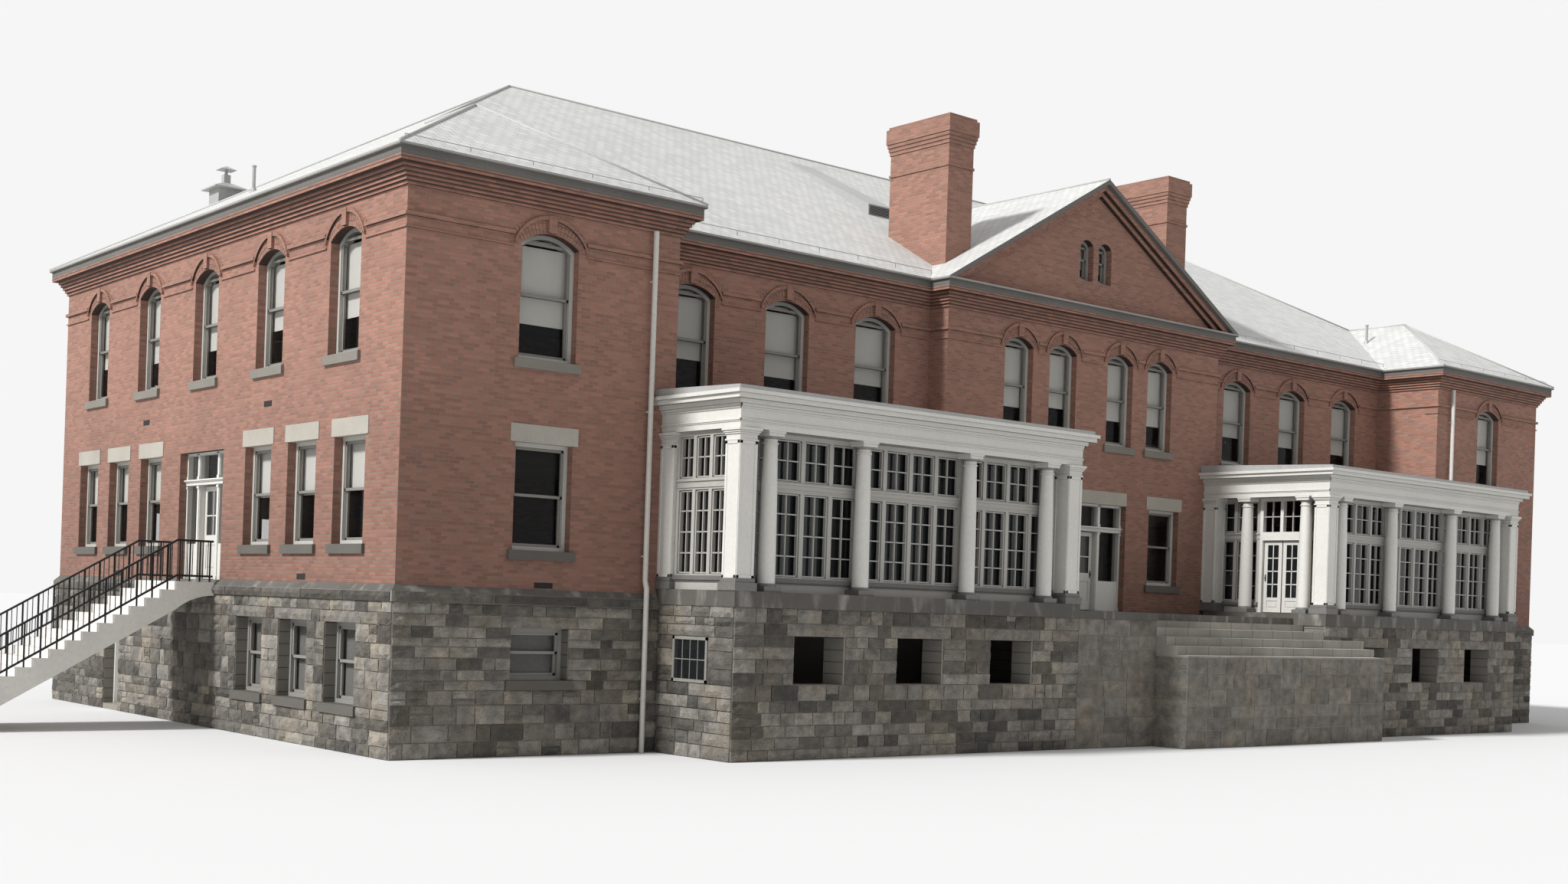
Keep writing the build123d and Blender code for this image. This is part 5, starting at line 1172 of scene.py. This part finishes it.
class SCHOOL_OT_roof(bpy.types.Operator):
    """Cap the ridges and hips and set the vent pipes and snow guards on the roof"""
    bl_idname = "school.roof"
    bl_label = "Cap the roof"

    def execute(self, context):
        settings = context.scene.school.roof
        slope = math.tan(settings.pitch)
        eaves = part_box("main_roof")[0][2]
        reach = SIDE_FACE + GUTTER_OUT
        back = BACK_FACE + GUTTER_OUT
        front = RECESS_FACE - GUTTER_OUT
        half = (back - front) / 2
        ridge_y = (back + front) / 2
        wing_inner = WING_INNER - GUTTER_OUT
        wing_half = (reach - wing_inner) / 2
        wing_front = WING_FACE - GUTTER_OUT
        low = eaves + settings.roll * 0.35
        ridge_z = low + half * slope
        wing_z = low + wing_half * slope
        caps = Builder()
        caps.rod((half - reach, ridge_y, ridge_z), (reach - half, ridge_y, ridge_z), settings.roll)
        for s in (-1, 1):
            peak = (s * (reach - half), ridge_y, ridge_z)
            crown = (s * (reach - wing_half), wing_front + wing_half, wing_z)
            joint = (s * (reach - wing_half), front + wing_half, wing_z)
            for start, end in (((s * reach, back, low), peak), ((s * reach, wing_front, low), crown),
                               ((s * wing_inner, wing_front, low), crown), (crown, joint),
                               (joint, peak)):
                caps.rod(start, end, settings.roll)
        gable = PAVILION_HALF + GUTTER_OUT
        top = low + gable * slope
        caps.rod((0, PAVILION_FACE - GUTTER_OUT, top), (0, front + gable, top), settings.roll)
        caps.finish("ridge_and_hip_rolls", "ridge_slate", "painted_metal", smooth=True)
        pipes = Builder()
        for x, y in VENT_PIPES:
            rise = min(reach - x, back - y, y - front)
            if y < front + wing_half:
                rise = max(rise, min(reach - x, x - wing_inner, y - wing_front))
            foot = eaves + max(rise, 0) * slope
            for s in (-1, 1):
                for z0, z1, *radii in ((-0.05, 0.27, 0.020, 12), (0.27, 0.285, 0.026, 12),
                                       (-0.04, 0.04, 0.055, 12, 0.024)):
                    pipes.rod((s * x, y, foot + z0), (s * x, y, foot + z1), *radii)
        pipes.finish("vent_pipes", "pale_metal", "painted_metal")
        guards = Builder()
        rise, pull = 0.036, 0.09
        foot = eaves + pull * slope
        for xa, xb, y in ((-reach, -wing_inner, wing_front), (wing_inner, reach, wing_front),
                          (-wing_inner, -gable, front), (gable, wing_inner, front)):
            a, b = (clamp_in(x, pull, (-reach, reach)) for x in (xa, xb))
            y = clamp_in(y, pull, (wing_front, back))
            guards.rod((a, y, foot + rise), (b, y, foot + rise), 0.004, 6)
            count = max(2, round((b - a) / 0.6))
            for k in range(count + 1):
                x = a + (b - a) * k / count
                guards.rod((x, y, foot - 0.02), (x, y, foot + rise), 0.004, 6)
        guards.finish("snow_guards", "pale_metal", "dark_iron")
        return {"FINISHED"}


class SCHOOL_OT_louvres(bpy.types.Operator):
    """Set louvres in the roof dormers and dark grilles in the walls; the black behind the slats and
    in the grilles is painted shade
    """
    bl_idname = "school.louvres"
    bl_label = "Set the louvres"

    def execute(self, context):
        slats, dark = Builder(), Builder()
        for low, high in island_boxes("roof_ventilators"):
            if high.y - low.y < 1.0:
                continue
            place = wall_matrix("Y", -1, low.y, (low.x + high.x) / 2)
            foot, head = low.z + 0.015, low.z + 0.125
            half = (high.x - low.x) / 2 - 0.02
            # black sheet behind the slats: painted shade
            dark.box(place, -half, half, -0.002, 0.002, foot, head)
            for k in range(6):
                z = foot + (head - foot) * (k + 0.5) / 6
                slats.box(place, -half, half, -0.010, 0.004, z, z + 0.005)
        slats.finish("dormer_slats", "pale_metal", "painted_metal")
        for sign in (-1, 1):
            side = wall_matrix("X", sign, sign * SIDE_FACE)
            for y, z in SIDE_VENTS:
                u = local_u(side, (0, y, 0))
                # black patch of painted shade for each wall vent
                dark.box(side, u - 0.09, u + 0.09, -0.003, 0.002, z - 0.028, z + 0.028)
            wing = wall_matrix("Y", -1, WING_FACE, sign * WING_VENT[0])
            dark.box(wing, -0.10, 0.10, -0.003, 0.002, *WING_VENT[1:])
        dark.finish("vent_grilles", "void", "dark_iron")
        return {"FINISHED"}


# Leaf, body, rows of panes, heights of the raised panel's field, side of the knob
LEAVES = (("main_door", "main_door", 2, 0.104, 0.362, 1),
          ("side_door", "side_door", 2, 0.104, 0.362, 1),
          ("porch_door_front_leaf", "porch_front_leaf", 4, 0.05, 0.145, 1),
          ("porch_door_rear_leaf", "porch_rear_leaf", 4, 0.05, 0.145, -1))


def leaf_fittings(node, body, rows, panel_low, panel_high, bar):
    """Dark panes, glazing bars and a raised panel on both sides of one door leaf."""
    low, high = (Vector(corner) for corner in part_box(node))
    if high.x - low.x < high.y - low.y:
        place = wall_matrix("X", -1, low.x, (low.y + high.y) / 2)
        width = high.y - low.y
    else:
        place = wall_matrix("Y", -1, low.y, (low.x + high.x) / 2)
        width = high.x - low.x
    half = width / 2 - LEAF_RIM
    z0, z1 = low.z + panel_high + 0.05, high.z - LEAF_RIM
    panes = Builder()
    # opaque black panes: painted shade of the dark room behind the leaf
    for v in (0.0055, LEAF_THICK - 0.0075):
        panes.box(place, -half, half, v, v + 0.002, z0, z1)
    panes.finish(f"{node}_panes", "dark_pane", "glass", body)
    bars = Builder()
    for v in (0.001, LEAF_THICK - 0.0055):
        bars.box(place, -bar / 2, bar / 2, v, v + 0.0045, z0, z1)
        for k in range(1, rows):
            z = z0 + (z1 - z0) * k / rows
            bars.box(place, -half, half, v, v + 0.0045, z - bar / 2, z + bar / 2)
        bars.box(place, 0.02 - half, half - 0.02, v + 0.001, v + 0.0035,
                 low.z + panel_low + 0.02, low.z + panel_high - 0.02)
    bars.finish(f"{node}_glazing_bars", "door_timber", "door_timber", body)
    return place, width, low.z


class SCHOOL_OT_doors(bpy.types.Operator):
    """Glaze the door leaves and give them knobs"""
    bl_idname = "school.doors"
    bl_label = "Fit the doors"

    def execute(self, context):
        for node, body, rows, panel_low, panel_high, side in LEAVES:
            place, width, foot = leaf_fittings(node, body, rows, panel_low, panel_high,
                                               context.scene.school.sash.bar)
            metal = Builder()
            u = side * (width - LEAF_RIM) / 2
            z = foot + KNOB_HEIGHT
            metal.box(place, u - 0.010, u + 0.010, -0.002, 0.001, z - 0.045, z + 0.045)
            stem = place @ Vector((u, -0.012, z))
            metal.rod(place @ Vector((u, 0, z)), stem, 0.004, 8)
            metal.ball(stem, 0.010)
            metal.finish(f"{node}_knob", "dark_iron", "dark_iron", body)
        return {"FINISHED"}


def light_studio(tree, fill):
    """Soft light, stronger from above; the camera, gloss and glass see a pale backdrop."""
    nodes = Nodes(tree)
    path = tree.nodes.new("ShaderNodeLightPath")
    seen = Value(nodes, path.outputs["Is Camera Ray"])
    for name in ("Is Glossy Ray", "Is Transmission Ray"):
        seen = seen.upper(Value(nodes, path.outputs[name]))
    up = nodes.split(nodes.coordinate("Generated"))[2].upper(0.0)
    soft = (up * 0.9 + 0.6) * fill
    background = tree.nodes["Background"]
    background.inputs["Color"].default_value = (1, 1, 1, 1)
    nodes.feed(background.inputs["Strength"], soft * (1.0 - seen) + seen * 0.92)


def frame_mouldings(builder, place, half, mullion):
    """Pilasters with caps, an entablature over the leaf and a cornice over the transom."""
    low, bar_low, bar_high = BASE_TOP, *DOOR_BAR
    for s in (-1, 1):
        for middle, width in ((mullion + 0.030, 0.044), (half - 0.018, 0.030)):
            for z0, z1 in ((low, bar_low), (bar_high, DOOR_HEAD)):
                u0, u1 = s * middle - width / 2, s * middle + width / 2
                builder.box(place, u0, u1, -0.010, 0.001, z0, z1)
                builder.box(place, u0 - 0.006, u1 + 0.006, -0.018, 0.001, z1 - 0.030, z1 - 0.006)
                builder.box(place, u0 - 0.005, u1 + 0.005, -0.016, 0.001, z0, z0 + 0.040)
    builder.bands(place, half, 0.001, ((0.020, bar_low + 0.004, bar_low + 0.036),
                                       (0.032, bar_low + 0.036, bar_low + 0.048),
                                       (0.044, bar_low + 0.048, bar_high + 0.004),
                                       (0.018, DOOR_HEAD - 0.024, DOOR_HEAD)))


def railing_bars(builder, sign, y, start, end, drop):
    """Upright bars between two distances from the middle, under a rail that falls by drop."""
    count = round((end - start) / BARS_PITCH)
    for k in range(1, count):
        x = sign * (start + (end - start) * k / count)
        down = drop * k / count
        builder.rod((x, y, STAIR_RAIL_LOW - 0.015 - down), (x, y, STAIR_RAIL_TOP - 0.010 - down),
                    BARS_RADIUS, 6)


class SCHOOL_OT_entrances(bpy.types.Operator):
    """Trim the frames of the main door and the side doors, and fill the stair railings with bars"""
    bl_idname = "school.entrances"
    bl_label = "Trim the entrances"

    def execute(self, context):
        trim = Builder()
        frame_mouldings(trim, wall_matrix("Y", -1, PAVILION_FACE + FRAME_RECESS), *MAIN_FRAME)
        bars = Builder()
        for sign in (-1, 1):
            side = wall_matrix("X", sign, sign * (SIDE_FACE - FRAME_RECESS), SIDE_DOOR_Y)
            frame_mouldings(trim, side, *SIDE_FRAME)
            for y in STAIR_RAILS:
                railing_bars(bars, sign, y, STAIR_RAIL_EDGE, STAIR_RAIL_END, STAIR_RAIL_DROP)
                railing_bars(bars, sign, y, STAIR_RAIL_WALL, STAIR_RAIL_EDGE, 0.0)
        trim.finish("door_frame_mouldings", "white_timber", "white_timber", bevel=0.0015)
        bars.finish("stair_railing_bars", "dark_iron", "dark_iron")
        return {"FINISHED"}


class SCHOOL_OT_stage(bpy.types.Operator):
    """Set the floor, the lights and the camera"""
    bl_idname = "school.stage"
    bl_label = "Set the stage"

    def execute(self, context):
        settings = context.scene.school.stage
        scene = context.scene
        bpy.ops.mesh.primitive_plane_add(size=400, location=(0, 0, -0.002))
        floor = context.object
        floor.name = "studio_floor"
        ground = Paint("studio_floor", Roughness=0.9)
        ground.color(ground.shaded((0.70, 0.70, 0.70), ground.noise(0.05, 1.0) * 0.02 + 0.99))
        floor.data.materials.append(ground.material)
        world = bpy.data.worlds.new("studio")
        scene.world = world
        world.use_nodes = True
        light_studio(world.node_tree, settings.sky)
        lamp = bpy.data.lights.new("key", "SUN")
        lamp.energy = settings.sun
        lamp.angle = math.radians(7)
        key = bpy.data.objects.new("key", lamp)
        key.rotation_euler = Vector((0.78, -0.07, -0.64)).to_track_quat("-Z", "Y").to_euler()
        scene.collection.objects.link(key)
        camera_data = bpy.data.cameras.new("photo_camera")
        camera_data.lens = settings.lens
        camera_data.sensor_width = 36
        camera_data.shift_x = -0.0015
        camera_data.shift_y = 0.105
        camera_data.clip_end = 500
        camera = bpy.data.objects.new("photo_camera", camera_data)
        turn = Matrix.Rotation(-settings.heading, 4, "Z") @ Matrix.Rotation(math.pi / 2, 4, "X")
        turn = turn @ Matrix.Rotation(settings.roll, 4, "Z")
        camera.matrix_world = Matrix.Translation(settings.place) @ turn
        scene.collection.objects.link(camera)
        scene.camera = camera
        scene.view_settings.view_transform = "Standard"
        return {"FINISHED"}


class SCHOOL_PT_panel(bpy.types.Panel):
    """Steps and settings of the school building"""
    bl_label = "School building"
    bl_idname = "SCHOOL_PT_panel"
    bl_space_type = "VIEW_3D"
    bl_region_type = "UI"
    bl_category = "School"

    def draw(self, context):
        for operator in OPERATORS:
            self.layout.operator(operator.bl_idname)
        for group in ("brick", "stone", "sash", "roof", "stage"):
            column = self.layout.column(heading=group.title())
            settings = getattr(context.scene.school, group)
            for name in settings.bl_rna.properties.keys():
                if name not in ("rna_type", "name"):
                    column.prop(settings, name)


SETTINGS = (BrickSettings, StoneSettings, SashSettings, RoofSettings, StageSettings, SchoolSettings)
OPERATORS = (SCHOOL_OT_materials, SCHOOL_OT_rubble, SCHOOL_OT_sashes, SCHOOL_OT_arches,
             SCHOOL_OT_porches, SCHOOL_OT_roof, SCHOOL_OT_louvres, SCHOOL_OT_doors,
             SCHOOL_OT_entrances, SCHOOL_OT_stage)


def register():
    for cls in (*SETTINGS, *OPERATORS, SCHOOL_PT_panel):
        bpy.utils.register_class(cls)
    bpy.types.Scene.school = bpy.props.PointerProperty(type=SchoolSettings)


def unregister():
    del bpy.types.Scene.school
    for cls in reversed((*SETTINGS, *OPERATORS, SCHOOL_PT_panel)):
        bpy.utils.unregister_class(cls)


def main():
    register()
    for operator in OPERATORS:
        step = operator.bl_idname.split(".")[1]
        getattr(bpy.ops.school, step)()


if __name__ == "__main__":
    main()
